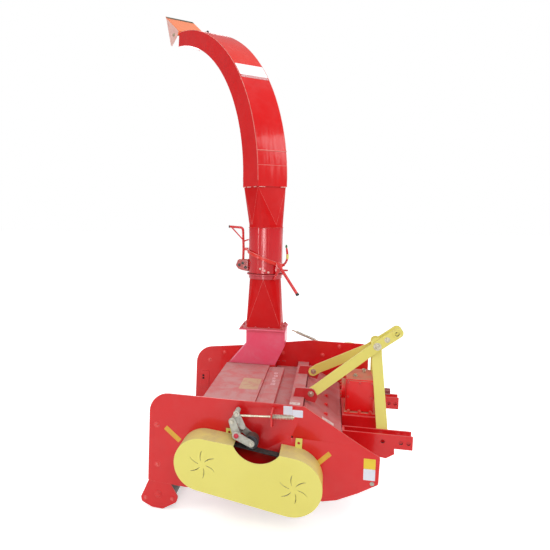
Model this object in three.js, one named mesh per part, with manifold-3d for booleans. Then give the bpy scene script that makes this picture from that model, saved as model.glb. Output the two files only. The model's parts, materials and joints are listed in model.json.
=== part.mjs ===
// Mounted flail forage harvester: a three-point implement with a full-width ground roller,
// a flail rotor, a cross auger, a blower and a swivelling discharge chute.
// Millimetres, +X towards the tractor, +Y to the machine's left, +Z up. Heights are measured from
// a datum a little below the ground, and the finished group is lowered onto the ground at the end.
import * as THREE from 'three';
import { mergeVertices } from 'three/addons/utils/BufferGeometryUtils.js';
import Module from 'manifold-3d';

const wasm = await Module();
wasm.setup();

// ---------------------------------------------------------------- driving dimensions
const GAP = 0.3; // between parts that touch
const SHEET = 3; // folded sheet
const PLATE = 8; // side plates
const HALF_WIDTH = 520; // centre plane to the outer face of a side plate
const INNER = HALF_WIDTH - PLATE; // centre plane to the inner face of a side plate
const SEAT = INNER - GAP; // where cross members end

const ROTOR = { x: 827, z: 348, radius: 225, drum: 80, shaft: 25, pulleyRight: 104, pulleyLeft: 90 };
const AUGER = { x: 344, z: 416, radius: 130, tube: 40, trough: 150, shaft: 25, pulley: 108 };
const BLOWER = { radius: 180, housing: 200, y0: 341, y1: 508 };
const CROSS = { x: 1130, z: 677, shaft: 20, pulley: 108 };
const ROLLER = { x: 45, z: 125, radius: 90, half: 488, axle: 17 };
const GROUND = ROLLER.z - ROLLER.radius;
const IDLER = { radius: 38, half: 24 };

const BELT = { thick: 11, y: 575, half: 24 };
const GUARD_FACE = 665; // centre plane to the outer face of a belt guard
const COVER_Z = 690; // top of the rear cover
const BEAM_Z = 680; // top of the two channel beams
const DECK_Z = 640; // sheet under the channel beams
const FRONT = { x0: 1060, x1: 1150, z0: 380, z1: 465 }; // front tube

const ARM = {
  y: 307.5, gap: 65, thick: 10, z0: 470, z1: 547, x0: 1070, x1: 1440,
  holes: [1285, 1379, 1418], hole: 11, holeZ: 507,
};
const MAST = { x: 1265, z: 960, inner: 22, thick: 10, width: 60 };
const LUG = { x: 890, y: 220, z: 704, thick: 12 };
const TOP_LINK = { x: 1372, z: 1042, hole: 12.5, pad: 25, proud: 1.5 }; // with a wear pad round the hole
const SPARE = { x: 1319, z: 1004, hole: 10 }; // a second, smaller bolt between mast and top link

const CHUTE = { x: 541, y: 385, radius: 117, z0: 1340, z1: 1650 };
const FLANGE = { x0: 377, x1: 697, y0: 270, y1: 505, z: 955, thick: 8 };
const DISCHARGE = THREE.MathUtils.degToRad(133.5); // direction that the chute throws in, from +X
const NECK = {
  z0: 1925, centreS: 1187, centreZ: 1966, radius: 1256, half: 122.5, sweep: 84, deep: 175, shallow: 106,
};
const STAND = { x: 1110, hinge: 298, half: 21, footX: 45, footY: 70, foot: 8, pin: 8 };

// ---------------------------------------------------------------- paints
const paint = (color, roughness = 0.35, metalness = 0) => (
  new THREE.MeshStandardMaterial({ color, roughness, metalness }));
const RED = paint(0xd1242b);
const YELLOW = paint(0xe6dc6e);
const STEEL = paint(0xb8b4aa, 0.4, 0.8);
const CAST = paint(0xa9a79d, 0.6, 0.5);
const BLACK = paint(0x1b1b1c, 0.7);

// ---------------------------------------------------------------- geometry helpers
const V = (x, y, z) => new THREE.Vector3(x, y, z);

/** A closed three.js geometry as a manifold solid, turned the right way out. */
function solid(geometry) {
  const bare = geometry.clone();
  bare.deleteAttribute('normal');
  bare.deleteAttribute('uv');
  const merged = mergeVertices(bare, 1e-3);
  const p = merged.attributes.position;
  const index = Array.from(merged.index.array);
  let volume = 0;
  const [a, b, c] = [V(0, 0, 0), V(0, 0, 0), V(0, 0, 0)];
  for (let i = 0; i < index.length; i += 3) {
    a.fromBufferAttribute(p, index[i]);
    b.fromBufferAttribute(p, index[i + 1]);
    c.fromBufferAttribute(p, index[i + 2]);
    volume += a.dot(b.cross(c));
  }
  if (volume < 0) index.reverse();
  return new wasm.Manifold(new wasm.Mesh({
    numProp: 3,
    vertProperties: new Float32Array(p.array),
    triVerts: new Uint32Array(index),
  }));
}

const union = (...parts) => parts.reduce((whole, part) => whole.add(part));
const cut = (body, ...tools) => tools.reduce((rest, tool) => rest.subtract(tool), body);

function box(x0, x1, y0, y1, z0, z1) {
  const geometry = new THREE.BoxGeometry(x1 - x0, y1 - y0, z1 - z0);
  return solid(geometry.translate((x0 + x1) / 2, (y0 + y1) / 2, (z0 + z1) / 2));
}

/** A round bar from a to b. */
function rod(a, b, radius, sides = 12) {
  const along = b.clone().sub(a);
  const geometry = new THREE.CylinderGeometry(radius, radius, along.length(), sides);
  geometry.applyQuaternion(new THREE.Quaternion().setFromUnitVectors(V(0, 1, 0), along.clone().normalize()));
  const middle = a.clone().add(b).multiplyScalar(0.5);
  return solid(geometry.translate(middle.x, middle.y, middle.z));
}

const discY = (x, z, radius, y0, y1, sides = 20) => rod(V(x, y0, z), V(x, y1, z), radius, sides);
const discX = (y, z, radius, x0, x1, sides = 16) => rod(V(x0, y, z), V(x1, y, z), radius, sides);
const discZ = (x, y, radius, z0, z1, sides = 24) => rod(V(x, y, z0), V(x, y, z1), radius, sides);

/** A closed outline through corners [u, v, radius]; a radius rounds its corner. */
function rounded(corners) {
  const shape = new THREE.Shape();
  corners.forEach(([u, v, radius = 0], i) => {
    const here = new THREE.Vector2(u, v);
    const before = new THREE.Vector2(...corners.at(i - 1).slice(0, 2)).sub(here).normalize();
    const after = new THREE.Vector2(...corners[(i + 1) % corners.length].slice(0, 2)).sub(here).normalize();
    const half = Math.acos(THREE.MathUtils.clamp(before.dot(after), -1, 1)) / 2;
    const reach = radius / Math.tan(half);
    const start = here.clone().addScaledVector(before, reach);
    const end = here.clone().addScaledVector(after, reach);
    if (i === 0) shape.moveTo(start.x, start.y);
    else shape.lineTo(start.x, start.y);
    if (radius > 0) {
      const bisector = before.clone().add(after).normalize();
      const centre = here.clone().addScaledVector(bisector, radius / Math.sin(half));
      const angle = (point) => Math.atan2(point.y - centre.y, point.x - centre.x);
      const clockwise = before.x * after.y - before.y * after.x > 0;
      shape.absarc(centre.x, centre.y, radius, angle(start), angle(end), clockwise);
    }
  });
  return shape;
}

/** A plate whose outline is in X and Z, between y0 and y1. */
function plateY(corners, y0, y1, divisions = 4) {
  const shape = Array.isArray(corners) ? rounded(corners) : corners;
  const geometry = new THREE.ExtrudeGeometry(shape, {
    depth: y1 - y0, bevelEnabled: false, curveSegments: divisions,
  });
  return solid(geometry.rotateX(Math.PI / 2).translate(0, y1, 0));
}

/** A plate whose outline is in Y and Z, between x0 and x1. */
function plateX(corners, x0, x1) {
  const geometry = new THREE.ExtrudeGeometry(rounded(corners), {
    depth: x1 - x0, bevelEnabled: false, curveSegments: 3,
  });
  return solid(geometry.rotateX(Math.PI / 2).rotateZ(Math.PI / 2).translate(x0, 0, 0));
}

/** The outline round two discs, as a belt or a link plate has. */
function linkShape(a, b, ra, rb, divisions = 12) {
  const along = Math.atan2(b.z - a.z, b.x - a.x);
  const lean = Math.acos((ra - rb) / Math.hypot(b.x - a.x, b.z - a.z));
  const points = [];
  const arc = (centre, radius, from, to) => {
    for (let i = 0; i <= divisions; i++) {
      const angle = from + ((to - from) * i) / divisions;
      const [x, z] = [centre.x + radius * Math.cos(angle), centre.z + radius * Math.sin(angle)];
      points.push(new THREE.Vector2(x, z));
    }
  };
  arc(b, rb, along - lean, along + lean);
  arc(a, ra, along + lean, along + 2 * Math.PI - lean);
  return new THREE.Shape(points);
}

const link = (a, b, ra, rb, y0, y1, divisions) => plateY(linkShape(a, b, ra, rb, divisions), y0, y1);

/** A body skinned over rings of points, capped at both ends. */
function loft(rings) {
  const size = rings[0].length;
  const index = [];
  rings.slice(1).forEach((_, r) => {
    for (let i = 0; i < size; i++) {
      const j = (i + 1) % size;
      const [a, b, c, d] = [r * size + i, r * size + j, (r + 1) * size + j, (r + 1) * size + i];
      index.push(a, b, c, a, c, d);
    }
  });
  const last = (rings.length - 1) * size;
  for (let i = 1; i < size - 1; i++) index.push(0, i + 1, i, last, last + i, last + i + 1);
  const geometry = new THREE.BufferGeometry();
  const flat = rings.flat().flatMap((p) => [p.x, p.y, p.z]);
  geometry.setAttribute('position', new THREE.Float32BufferAttribute(flat, 3));
  geometry.setIndex(index);
  return solid(geometry);
}

/** A flat bar along a path; its width stays upright and its thickness goes sideways. */
function flatBar(path, width, thick, across = V(0, 1, 0)) {
  const rings = path.map((point, i) => {
    const before = path[Math.max(i - 1, 0)];
    const after = path[Math.min(i + 1, path.length - 1)];
    const along = after.clone().sub(before).normalize();
    const up = along.clone().cross(across).normalize().multiplyScalar(width / 2);
    const side = across.clone().multiplyScalar(thick / 2);
    return [[1, 1], [1, -1], [-1, -1], [-1, 1]].map(([u, s]) => (
      point.clone().addScaledVector(up, u).addScaledVector(side, s)));
  });
  return loft(rings);
}

const group = new THREE.Group();

function add(name, body, material) {
  const { vertProperties, triVerts } = body.getMesh();
  const geometry = new THREE.BufferGeometry();
  geometry.setAttribute('position', new THREE.Float32BufferAttribute(vertProperties, 3));
  geometry.setIndex(new THREE.Uint32BufferAttribute(triVerts, 1));
  geometry.computeVertexNormals();
  const mesh = new THREE.Mesh(geometry, material);
  mesh.name = name;
  group.add(mesh);
}

/** side is 1 on the machine's left and -1 on its right; a and b are distances from the centre plane. */
const span = (side, a, b) => (side > 0 ? [a, b] : [-b, -a]);

// ---------------------------------------------------------------- side plates
const LOWER_EDGE = [
  [1258, 492, 12], [1253, 343, 10], [1153, 283], [1046, 230, 40], [974, 213, 40], [206, 195, 20],
];
const SHAFT_HOLE = 31;

function sidePlate(side) {
  const top = side > 0
    ? [[18, 740, 130], [383, 778, 200], [854, 840, 200], [1258, 835, 50]]
    : [[5, 740, 115], [867, 730, 25], [1165, 544, 30]];
  const lowRear = side > 0 ? [0, 209, 10] : [-13, 209, 10];
  const [y0, y1] = span(side, INNER, HALF_WIDTH);
  const holes = [[ROTOR.x, ROTOR.z, SHAFT_HOLE], [AUGER.x, AUGER.z, SHAFT_HOLE]];
  if (side > 0) holes.push([CROSS.x, CROSS.z, SHAFT_HOLE]);
  return cut(plateY([...top, ...LOWER_EDGE, lowRear], y0, y1),
    ...holes.map(([x, z, r]) => discY(x, z, r, y0 - 1, y1 + 1, 12)));
}

// ---------------------------------------------------------------- top sheets and channel beams
const CLEAR_OF_BLOWER = BLOWER.y0 - 4; // where the sheets end beside the blower
const COVER = { x0: 282, x1: 587, hem: 22 };
add('rear_cover', plateY([
  [COVER.x0, COVER_Z - COVER.hem], [COVER.x0, COVER_Z], [COVER.x1, COVER_Z], [COVER.x1, DECK_Z + GAP],
  [COVER.x1 - SHEET, DECK_Z + GAP], [COVER.x1 - SHEET, COVER_Z - SHEET],
  [COVER.x0 + SHEET, COVER_Z - SHEET], [COVER.x0 + SHEET, COVER_Z - COVER.hem],
], -SEAT, CLEAR_OF_BLOWER), RED);

function channelBeam(x0, x1) {
  const wall = 5;
  return cut(
    box(x0, x1, -SEAT, SEAT, DECK_Z + GAP, BEAM_Z),
    box(x0 + wall, x1 - wall, -SEAT - 1, SEAT + 1, DECK_Z, BEAM_Z - wall));
}
const BEAM_REAR = [606, 689];
const BEAM_FRONT = [777, 852];
const DECK = { x0: 574, x1: 856, notch: 626 };
add('channel_beam_rear', cut(channelBeam(...BEAM_REAR),
  box(BEAM_REAR[0] - 1, BEAM_REAR[1] + 1, CLEAR_OF_BLOWER, INNER, DECK_Z, BEAM_Z + 1)), RED);
add('deck_sheet', cut(box(DECK.x0, DECK.x1, -SEAT, SEAT, DECK_Z - SHEET, DECK_Z),
  box(DECK.x0 - 1, DECK.notch, CLEAR_OF_BLOWER, INNER, DECK_Z - SHEET - 1, DECK_Z + 1)), RED);

const HOOD = { x0: DECK.x1 + 2, top: 658, foot: 640, x1: 1049, low: 548, lip: 18 };
add('front_hood', plateY([
  [HOOD.x0, HOOD.foot], [HOOD.x0, HOOD.top], [HOOD.x1, HOOD.low], [HOOD.x1 + HOOD.lip, HOOD.low - 2],
  [HOOD.x1 + HOOD.lip, HOOD.low - 2 - SHEET], [HOOD.x1 - 1, HOOD.low - 3 - SHEET],
  [HOOD.x0 + SHEET, HOOD.top - 6], [HOOD.x0 + SHEET, HOOD.foot],
], -SEAT, SEAT), RED);

/** A ring sheet that follows an outline in X and Z, open where the outline ends. */
function shell(points, thick, y0, y1) {
  const outward = points.map((point, i) => {
    const before = points[Math.max(i - 1, 0)];
    const after = points[Math.min(i + 1, points.length - 1)];
    const along = after.clone().sub(before).normalize();
    return point.clone().add(new THREE.Vector2(along.y, -along.x).multiplyScalar(thick));
  });
  return plateY(new THREE.Shape([...points, ...outward.reverse()]), y0, y1);
}

/** Points of a trough wall: down from a, round the auger at the given radius, and up to b. */
function troughWall(a, b, radius, divisions) {
  const tangent = (point, turn) => {
    const [dx, dz] = [point[0] - AUGER.x, point[1] - AUGER.z];
    return Math.atan2(dz, dx) + turn * Math.acos(radius / Math.hypot(dx, dz));
  };
  const from = tangent(a, 1);
  const to = tangent(b, -1) + 2 * Math.PI;
  const points = [new THREE.Vector2(...a)];
  for (let i = 0; i <= divisions; i++) {
    const angle = from + ((to - from) * i) / divisions;
    const [x, z] = [AUGER.x + radius * Math.cos(angle), AUGER.z + radius * Math.sin(angle)];
    points.push(new THREE.Vector2(x, z));
  }
  points.push(new THREE.Vector2(...b));
  return points;
}
const TROUGH = { top: 302, lip: 495, lipZ: 430 };
add('auger_trough', shell(
  troughWall([TROUGH.top, COVER_Z - SHEET - 1.5], [TROUGH.lip, TROUGH.lipZ], AUGER.trough, 14),
  SHEET, -SEAT, BLOWER.y0 - GAP), RED);

// ---------------------------------------------------------------- blower housing and duct
const DUCT = { x0: 424, x1: 691, y0: 300, y1: BLOWER.y1 - 3, z: 840 };
const MOUTH = { x0: 300, x1: 622 };

function rectRing(x0, x1, y0, y1, z) {
  return [V(x0, y0, z), V(x1, y0, z), V(x1, y1, z), V(x0, y1, z)];
}

function blowerHousing() {
  const wall = troughWall([MOUTH.x0, COVER_Z - GAP], [MOUTH.x1, COVER_Z - GAP], BLOWER.housing, 18);
  const sides = plateY(new THREE.Shape(wall), BLOWER.y0, BLOWER.y0 + SHEET);
  const eye = discY(AUGER.x, AUGER.z, AUGER.trough, BLOWER.y0 - 1, BLOWER.y0 + SHEET + 1, 24);
  return cut(union(shell(wall, SHEET, BLOWER.y0, BLOWER.y1), sides), eye);
}
add('blower_housing', blowerHousing(), RED);

function outletDuct() {
  const rings = (inset) => [
    rectRing(MOUTH.x0 + inset, MOUTH.x1 - inset, BLOWER.y0 + inset, BLOWER.y1 - inset,
      COVER_Z - (inset ? 1 : 0)),
    rectRing(DUCT.x0 + inset, DUCT.x1 - inset, DUCT.y0 + inset, DUCT.y1 - inset, DUCT.z),
    rectRing(DUCT.x0 + inset, DUCT.x1 - inset, DUCT.y0 + inset, DUCT.y1 - inset,
      FLANGE.z + (inset ? 1 : 0)),
  ];
  const flange = box(FLANGE.x0, FLANGE.x1, FLANGE.y0, FLANGE.y1, FLANGE.z - FLANGE.thick, FLANGE.z);
  return cut(union(loft(rings(0)), flange), loft(rings(SHEET)));
}
add('outlet_duct', outletDuct(), RED);

/** Ring that goes from a rectangle to a circle round the same centre, mix 0 to 1. */
function blendRing(rect, circle, mix, z, count = 24) {
  return Array.from({ length: count }, (_, i) => {
    const angle = ((i + 0.5) / count) * 2 * Math.PI;
    const [c, s] = [Math.cos(angle), Math.sin(angle)];
    const reach = 1 / Math.max(Math.abs(c), Math.abs(s));
    const square = [(rect.x0 + rect.x1) / 2 + (c * reach * (rect.x1 - rect.x0)) / 2,
      (rect.y0 + rect.y1) / 2 + (s * reach * (rect.y1 - rect.y0)) / 2];
    const round = [circle.x + circle.r * c, circle.y + circle.r * s];
    return V(square[0] + (round[0] - square[0]) * mix, square[1] + (round[1] - square[1]) * mix, z);
  });
}

// the spigot of the lower chute reaches up into the swivel sleeve
const LOWER = { x0: 425, x1: 662, y0: 290, y1: 480, neck: 107, z0: FLANGE.z + GAP, z1: 1300, spigot: 45 };

function lowerChute() {
  const skin = (inset, end) => {
    const rect = { x0: LOWER.x0 + inset, x1: LOWER.x1 - inset, y0: LOWER.y0 + inset, y1: LOWER.y1 - inset };
    const circle = { x: CHUTE.x, y: CHUTE.y, r: LOWER.neck - inset };
    return loft([
      blendRing(rect, circle, 0, LOWER.z0 - end), blendRing(rect, circle, 0.02, LOWER.z0 + 12),
      blendRing(rect, circle, 1, LOWER.z1), blendRing(rect, circle, 1, CHUTE.z0 + LOWER.spigot + end)]);
  };
  const flange = box(FLANGE.x0, FLANGE.x1, FLANGE.y0, FLANGE.y1, LOWER.z0, LOWER.z0 + FLANGE.thick);
  return cut(union(skin(0, 0), flange), skin(SHEET, 1));
}
add('lower_chute', lowerChute(), RED);

function ring(radius, hole, z0, z1, sides = 24) {
  const disc = discZ(CHUTE.x, CHUTE.y, radius, z0, z1, sides);
  return cut(disc, discZ(CHUTE.x, CHUTE.y, hole, z0 - 1, z1 + 1, sides));
}
add('swivel_collar', union(
  ring(LOWER.neck + 22, LOWER.neck + 1, CHUTE.z0 - 14, CHUTE.z0 - 6),
  ring(LOWER.neck + 8, LOWER.neck + 1, CHUTE.z0 - 38, CHUTE.z0 - 14)), RED);

// ---------------------------------------------------------------- swivelling chute
const THROW = V(Math.cos(DISCHARGE), Math.sin(DISCHARGE), 0);
const ACROSS = V(Math.sin(DISCHARGE), -Math.cos(DISCHARGE), 0); // towards the machine's front left

/** A point s along the throw, w across it and z up. */
const chutePoint = (s, w, z) => V(CHUTE.x, CHUTE.y, z).addScaledVector(THROW, s).addScaledVector(ACROSS, w);

add('chute_sleeve', ring(CHUTE.radius, CHUTE.radius - SHEET, CHUTE.z0, CHUTE.z1), RED);

function chuteTransition() {
  const [back, front] = [NECK.centreS - NECK.radius, NECK.centreS - NECK.radius + NECK.deep];
  const skin = (inset, end) => {
    const rings = [[1, CHUTE.z1 + GAP - end], [1, CHUTE.z1 + 8], [0, NECK.z0 - 12], [0, NECK.z0 + end]];
    return loft(rings.map(([mix, z]) => (
      blendRing({ x0: back + inset, x1: front - inset, y0: -NECK.half + inset, y1: NECK.half - inset },
        { x: 0, y: 0, r: CHUTE.radius - inset }, mix, z).map((p) => chutePoint(p.x, p.y, p.z)))));
  };
  return cut(skin(0, 0), skin(SHEET, 1));
}
add('chute_transition', chuteTransition(), RED);

function neckRing(turn, inset, lift = 0) {
  const angle = THREE.MathUtils.degToRad(Math.max(turn, 0) * NECK.sweep);
  const depth = NECK.deep + (NECK.shallow - NECK.deep) * Math.max(turn, 0);
  const at = (radius, w) => chutePoint(
    NECK.centreS - radius * Math.cos(angle) + lift * Math.sin(angle),
    w, NECK.centreZ + radius * Math.sin(angle) + lift * Math.cos(angle));
  const half = NECK.half - inset;
  const [outer, inner] = [NECK.radius - inset, NECK.radius - depth + inset];
  return [at(outer, -half), at(outer, half), at(inner, half), at(inner, -half)];
}

const NECK_STEPS = 5; // rings in each third of the neck
const NECK_JOINT = 0.0003; // share of the sweep left open where two thirds meet

/** One third of the neck, between two shares of its sweep. */
function neckThird(from, to) {
  const first = from === 0;
  const skin = (inset, end) => {
    const rings = first ? [neckRing(0, inset, NECK.z0 + GAP - NECK.centreZ - end)] : [];
    for (let i = 0; i <= NECK_STEPS; i++) {
      const lift = (i === NECK_STEPS ? end : 0) - (i === 0 && !first ? end : 0);
      rings.push(neckRing(from + ((to - from) * i) / NECK_STEPS, inset, lift));
    }
    return loft(rings);
  };
  return cut(skin(0, 0), skin(SHEET, 1));
}
add('neck_lower', neckThird(0, 1 / 3), RED);
add('neck_middle', neckThird(1 / 3 + NECK_JOINT, 2 / 3), RED);
add('neck_upper', neckThird(2 / 3 + NECK_JOINT, 1), RED);

// the deflector flap hangs on the far end of the neck, swung up from the line of the throw
const HINGE = { s: 1050, z: 3231 };
const FLAP = { length: 300, rise: THREE.MathUtils.degToRad(37), half: NECK.half + 9, drop: 95 };

function deflectorFlap() {
  const along = [Math.cos(FLAP.rise), Math.sin(FLAP.rise)];
  const at = (u, v, w) => chutePoint(
    HINGE.s + u * along[0] + v * along[1], w, HINGE.z + u * along[1] - v * along[0]);
  const slab = (outline, w0, w1) => (
    loft([outline.map(([u, v]) => at(u, v, w0)), outline.map(([u, v]) => at(u, v, w1))]));
  const [rear, end] = [-12, FLAP.length];
  const top = slab([[rear, 0], [end, 0], [end, SHEET], [rear, SHEET]], -FLAP.half, FLAP.half);
  const cheek = (w) => slab([[rear, 0], [end, 0], [70, FLAP.drop], [rear, 40]], w, w + SHEET);
  return union(top, cheek(-FLAP.half), cheek(FLAP.half - SHEET));
}
add('deflector_flap', deflectorFlap(), RED);

// ---------------------------------------------------------------- chute turning gear
function bentRod(points, radius) {
  return union(...points.slice(1).map((point, i) => rod(points[i], point, radius, 8)),
    ...points.map((p) => solid(new THREE.SphereGeometry(radius, 8, 4).translate(p.x, p.y, p.z))));
}
const RIM = CHUTE.radius + GAP; // outer wall of the sleeve
const WALL = CHUTE.x - RIM - 4; // just inside that wall, at its rear
const GRIP = { x: CHUTE.x - RIM - 42, y: CHUTE.y, top: 1648, foot: 1364, tip: 105, bar: 8, brace: 5 };
const BRACKET = { reach: 91, z0: 1345, z1: 1416, inner: 14, outer: 22, floor: 1360, floorReach: 66 };
const atGrip = (dx, z) => V(GRIP.x + dx, GRIP.y, z);
const atWall = (z) => V(WALL - 1, GRIP.y, z);
add('turning_frame', union(
  bentRod([atGrip(-GRIP.tip, GRIP.top + 7), atGrip(0, GRIP.top), atGrip(0, GRIP.foot)], GRIP.bar),
  bentRod([atGrip(-95, 1645), atGrip(-6, 1566)], GRIP.brace),
  bentRod([atGrip(0, 1555), atWall(1565)], GRIP.brace),
  bentRod([atGrip(0, 1500), atWall(1500)], GRIP.brace),
  box(WALL - BRACKET.reach, WALL, GRIP.y - BRACKET.outer, GRIP.y - BRACKET.inner, BRACKET.z0, BRACKET.z1),
  box(WALL - BRACKET.reach, WALL, GRIP.y + BRACKET.inner, GRIP.y + BRACKET.outer, BRACKET.z0, BRACKET.z1),
  box(WALL - BRACKET.floorReach, WALL, GRIP.y - BRACKET.inner, GRIP.y + BRACKET.inner,
    BRACKET.floor, BRACKET.floor + 8)), RED);

/** A flat strap that slopes down round the near side of the sleeve. */
const STRAP = { z: 1440, slope: 50, half: 14, clear: 1.5, thick: 5, start: -175, sweep: 170, steps: 14 };
function strap() {
  const rings = [];
  for (let i = 0; i <= STRAP.steps; i++) {
    const angle = THREE.MathUtils.degToRad(STRAP.start + (STRAP.sweep * i) / STRAP.steps);
    const z = STRAP.z - STRAP.slope * Math.cos(angle);
    const at = (r, dz) => V(CHUTE.x + r * Math.cos(angle), CHUTE.y + r * Math.sin(angle), z + dz);
    const [near, far] = [RIM + STRAP.clear, RIM + STRAP.clear + STRAP.thick];
    rings.push([at(near, -STRAP.half), at(far, -STRAP.half), at(far, STRAP.half), at(near, STRAP.half)]);
  }
  return loft(rings);
}
const LEVER = { root: V(CHUTE.x + 90, CHUTE.y - 90, 1402), tip: V(CHUTE.x + 235, CHUTE.y - 150, 1190) };
add('turning_lever', union(strap(), rod(LEVER.root, LEVER.tip, 10, 12)), RED);

// ---------------------------------------------------------------- front tube, hitch arms and mast
function hitchArm(side) {
  const x0 = ARM.x0;
  const seat = FRONT.z1 + GAP;
  const body = [ARM.y - ARM.gap / 2, ARM.y + ARM.gap / 2].map((y) => {
    const [y0, y1] = span(side, y - ARM.thick / 2, y + ARM.thick / 2);
    const plate = plateY([
      [x0, seat], [x0, ARM.z1], [ARM.x1, ARM.z1], [ARM.x1, ARM.z0], [1346, ARM.z0], [1348, 439],
      [1305, 411], [1272, 415], [FRONT.x1 + GAP, 425], [FRONT.x1 + GAP, seat],
    ], y0, y1);
    return cut(plate, ...ARM.holes.map((x) => discY(x, ARM.holeZ, ARM.hole, y0 - 1, y1 + 1, 8)));
  });
  const [w0, w1] = span(side, ARM.y - ARM.gap / 2, ARM.y + ARM.gap / 2);
  return union(...body, box(x0, x0 + 12, w0, w1, seat, ARM.z1 - 2));
}
add('hitch_arm_right', hitchArm(-1), RED);
add('hitch_arm_left', hitchArm(1), RED);

const MAST_BOLT = 12;

function mastBar(side) {
  const top = MAST.inner + MAST.thick / 2;
  const low = ARM.y - ARM.gap / 2 - ARM.thick / 2 - MAST.thick / 2 - 2;
  const path = [V(MAST.x + 23, side * low, ARM.z0 + 8), V(MAST.x + 20, side * low, ARM.z1 + 13),
    V(MAST.x, side * top, MAST.z - 60), V(MAST.x - 8, side * top, MAST.z + 50)];
  return cut(flatBar(path, MAST.width, MAST.thick), discY(MAST.x, MAST.z, MAST_BOLT, -200, 200, 12));
}
add('mast_bar_right', mastBar(-1), YELLOW);
add('mast_bar_left', mastBar(1), YELLOW);

function mastStrut(side) {
  const top = MAST.inner + MAST.thick * 1.5 + GAP;
  const low = LUG.y - MAST.thick / 2 - GAP;
  const slope = (TOP_LINK.z - MAST.z) / (TOP_LINK.x - MAST.x);
  const lead = (x, y) => V(x, side * y, MAST.z + (x - MAST.x) * slope);
  const path = [V(LUG.x - 26, side * low, LUG.z - 18), V(LUG.x + 30, side * low, LUG.z + 22),
    lead(MAST.x - 40, top), lead(TOP_LINK.x + 30, top)];
  const face = top + MAST.thick / 2;
  const pad = discY(TOP_LINK.x, TOP_LINK.z, TOP_LINK.pad, ...span(side, top, face + TOP_LINK.proud), 24);
  const hole = ({ x, z }, radius) => discY(x, z, radius, -LUG.y - 80, LUG.y + 80, 12);
  return cut(union(flatBar(path, MAST.width, MAST.thick), pad),
    hole(MAST, MAST_BOLT), hole(SPARE, SPARE.hole), hole(TOP_LINK, TOP_LINK.hole), hole(LUG, MAST_BOLT));
}
add('mast_strut_right', mastStrut(-1), YELLOW);
add('mast_strut_left', mastStrut(1), YELLOW);

function bolt({ x, z }, half, radius, head) {
  const height = 12;
  return union(discY(x, z, radius, -half, half, 12),
    discY(x, z, head, half, half + height, 6), discY(x, z, head, -half - height, -half, 6));
}
const MAST_HALF = MAST.inner + 2 * MAST.thick + 1;
add('mast_bolt', union(
  bolt(MAST, MAST_HALF, MAST_BOLT - GAP, 18),
  discY(MAST.x, MAST.z, 17, -MAST.inner + GAP, MAST.inner - GAP, 16)), STEEL);
add('top_link_bolt', bolt(SPARE, MAST_HALF, SPARE.hole - GAP, 15), STEEL);

function strutLug(side) {
  const [y0, y1] = span(side, LUG.y, LUG.y + LUG.thick);
  const outline = [
    [790, BEAM_Z - 1], [802, 735, 8], [905, 735, 28], [930, 690, 20], [915, 652], [864, 663],
    [BEAM_FRONT[1], BEAM_Z - 1],
  ];
  const pin = [LUG.y - MAST.thick - 10, LUG.y + LUG.thick + 8];
  return union(plateY(outline, y0, y1), discY(LUG.x, LUG.z, MAST_BOLT - GAP, ...span(side, ...pin), 12));
}
add('channel_beam_front', union(channelBeam(...BEAM_FRONT), strutLug(-1), strutLug(1)), RED);

// ---------------------------------------------------------------- gearbox and input shaft
const BOX = { x0: 1090, x1: 1250, y: 110, z0: 566, z1: 772 };
const SHAFT_BORE = 27;
add('gearbox', cut(union(
  plateY([[BOX.x0, BOX.z0], [BOX.x0, BOX.z1, 14], [BOX.x1, BOX.z1, 14], [BOX.x1, BOX.z0]], -BOX.y, BOX.y),
  discX(0, CROSS.z, 62, BOX.x0 - 22, BOX.x0), discX(0, CROSS.z, 55, BOX.x1, BOX.x1 + 18),
  discY(CROSS.x, CROSS.z, 46, BOX.y, BOX.y + 24), discY(CROSS.x, CROSS.z, 36, BOX.y, SEAT)),
discX(0, CROSS.z, SHAFT_BORE, BOX.x1 - 30, BOX.x1 + 20, 20),
discY(CROSS.x, CROSS.z, SHAFT_BORE - 1, BOX.y - 10, HALF_WIDTH)), RED);

const BASE = { x0: FRONT.x0 + 12, x1: 1300, inner: 120, outer: 160, thick: 12 };
add('gearbox_base', union(
  box(BASE.x0, BASE.x1, -BASE.outer, BASE.outer, BOX.z0 - BASE.thick, BOX.z0 - GAP),
  box(BASE.x0, BASE.x1, -BASE.outer, -BASE.inner, FRONT.z1 + GAP, BOX.z0 - BASE.thick + 2),
  box(BASE.x0, BASE.x1, BASE.inner, BASE.outer, FRONT.z1 + GAP, BOX.z0 - BASE.thick + 2)), RED);
add('input_shaft', discX(0, CROSS.z, 21, BOX.x1 - 24, 1353, 20), STEEL);

// ---------------------------------------------------------------- flail rotor
const DRUM_END = 495; // end of the rotor's drum and of the auger's tube
const SHAFT_END = 618;

function flails() {
  const rows = 4;
  const perRow = 6;
  const parts = [];
  for (let row = 0; row < rows; row++) {
    const angle = (row / rows) * 2 * Math.PI + Math.PI / 8;
    for (let i = 0; i < perRow; i++) {
      const y = -470 + (i * 2 + 1 + (row % 2)) * (940 / (2 * perRow + 1));
      const geometry = new THREE.BoxGeometry(ROTOR.radius - ROTOR.drum + 4, 60, 10);
      geometry.translate((ROTOR.radius + ROTOR.drum) / 2 - 2, 0, 0).rotateY(-angle);
      geometry.translate(ROTOR.x, y, ROTOR.z);
      parts.push(solid(geometry));
    }
  }
  return union(...parts);
}
add('flail_rotor', union(
  discY(ROTOR.x, ROTOR.z, ROTOR.drum, -DRUM_END, DRUM_END),
  discY(ROTOR.x, ROTOR.z, ROTOR.shaft, -SHAFT_END, SHAFT_END, 16), flails()), STEEL);

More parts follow.
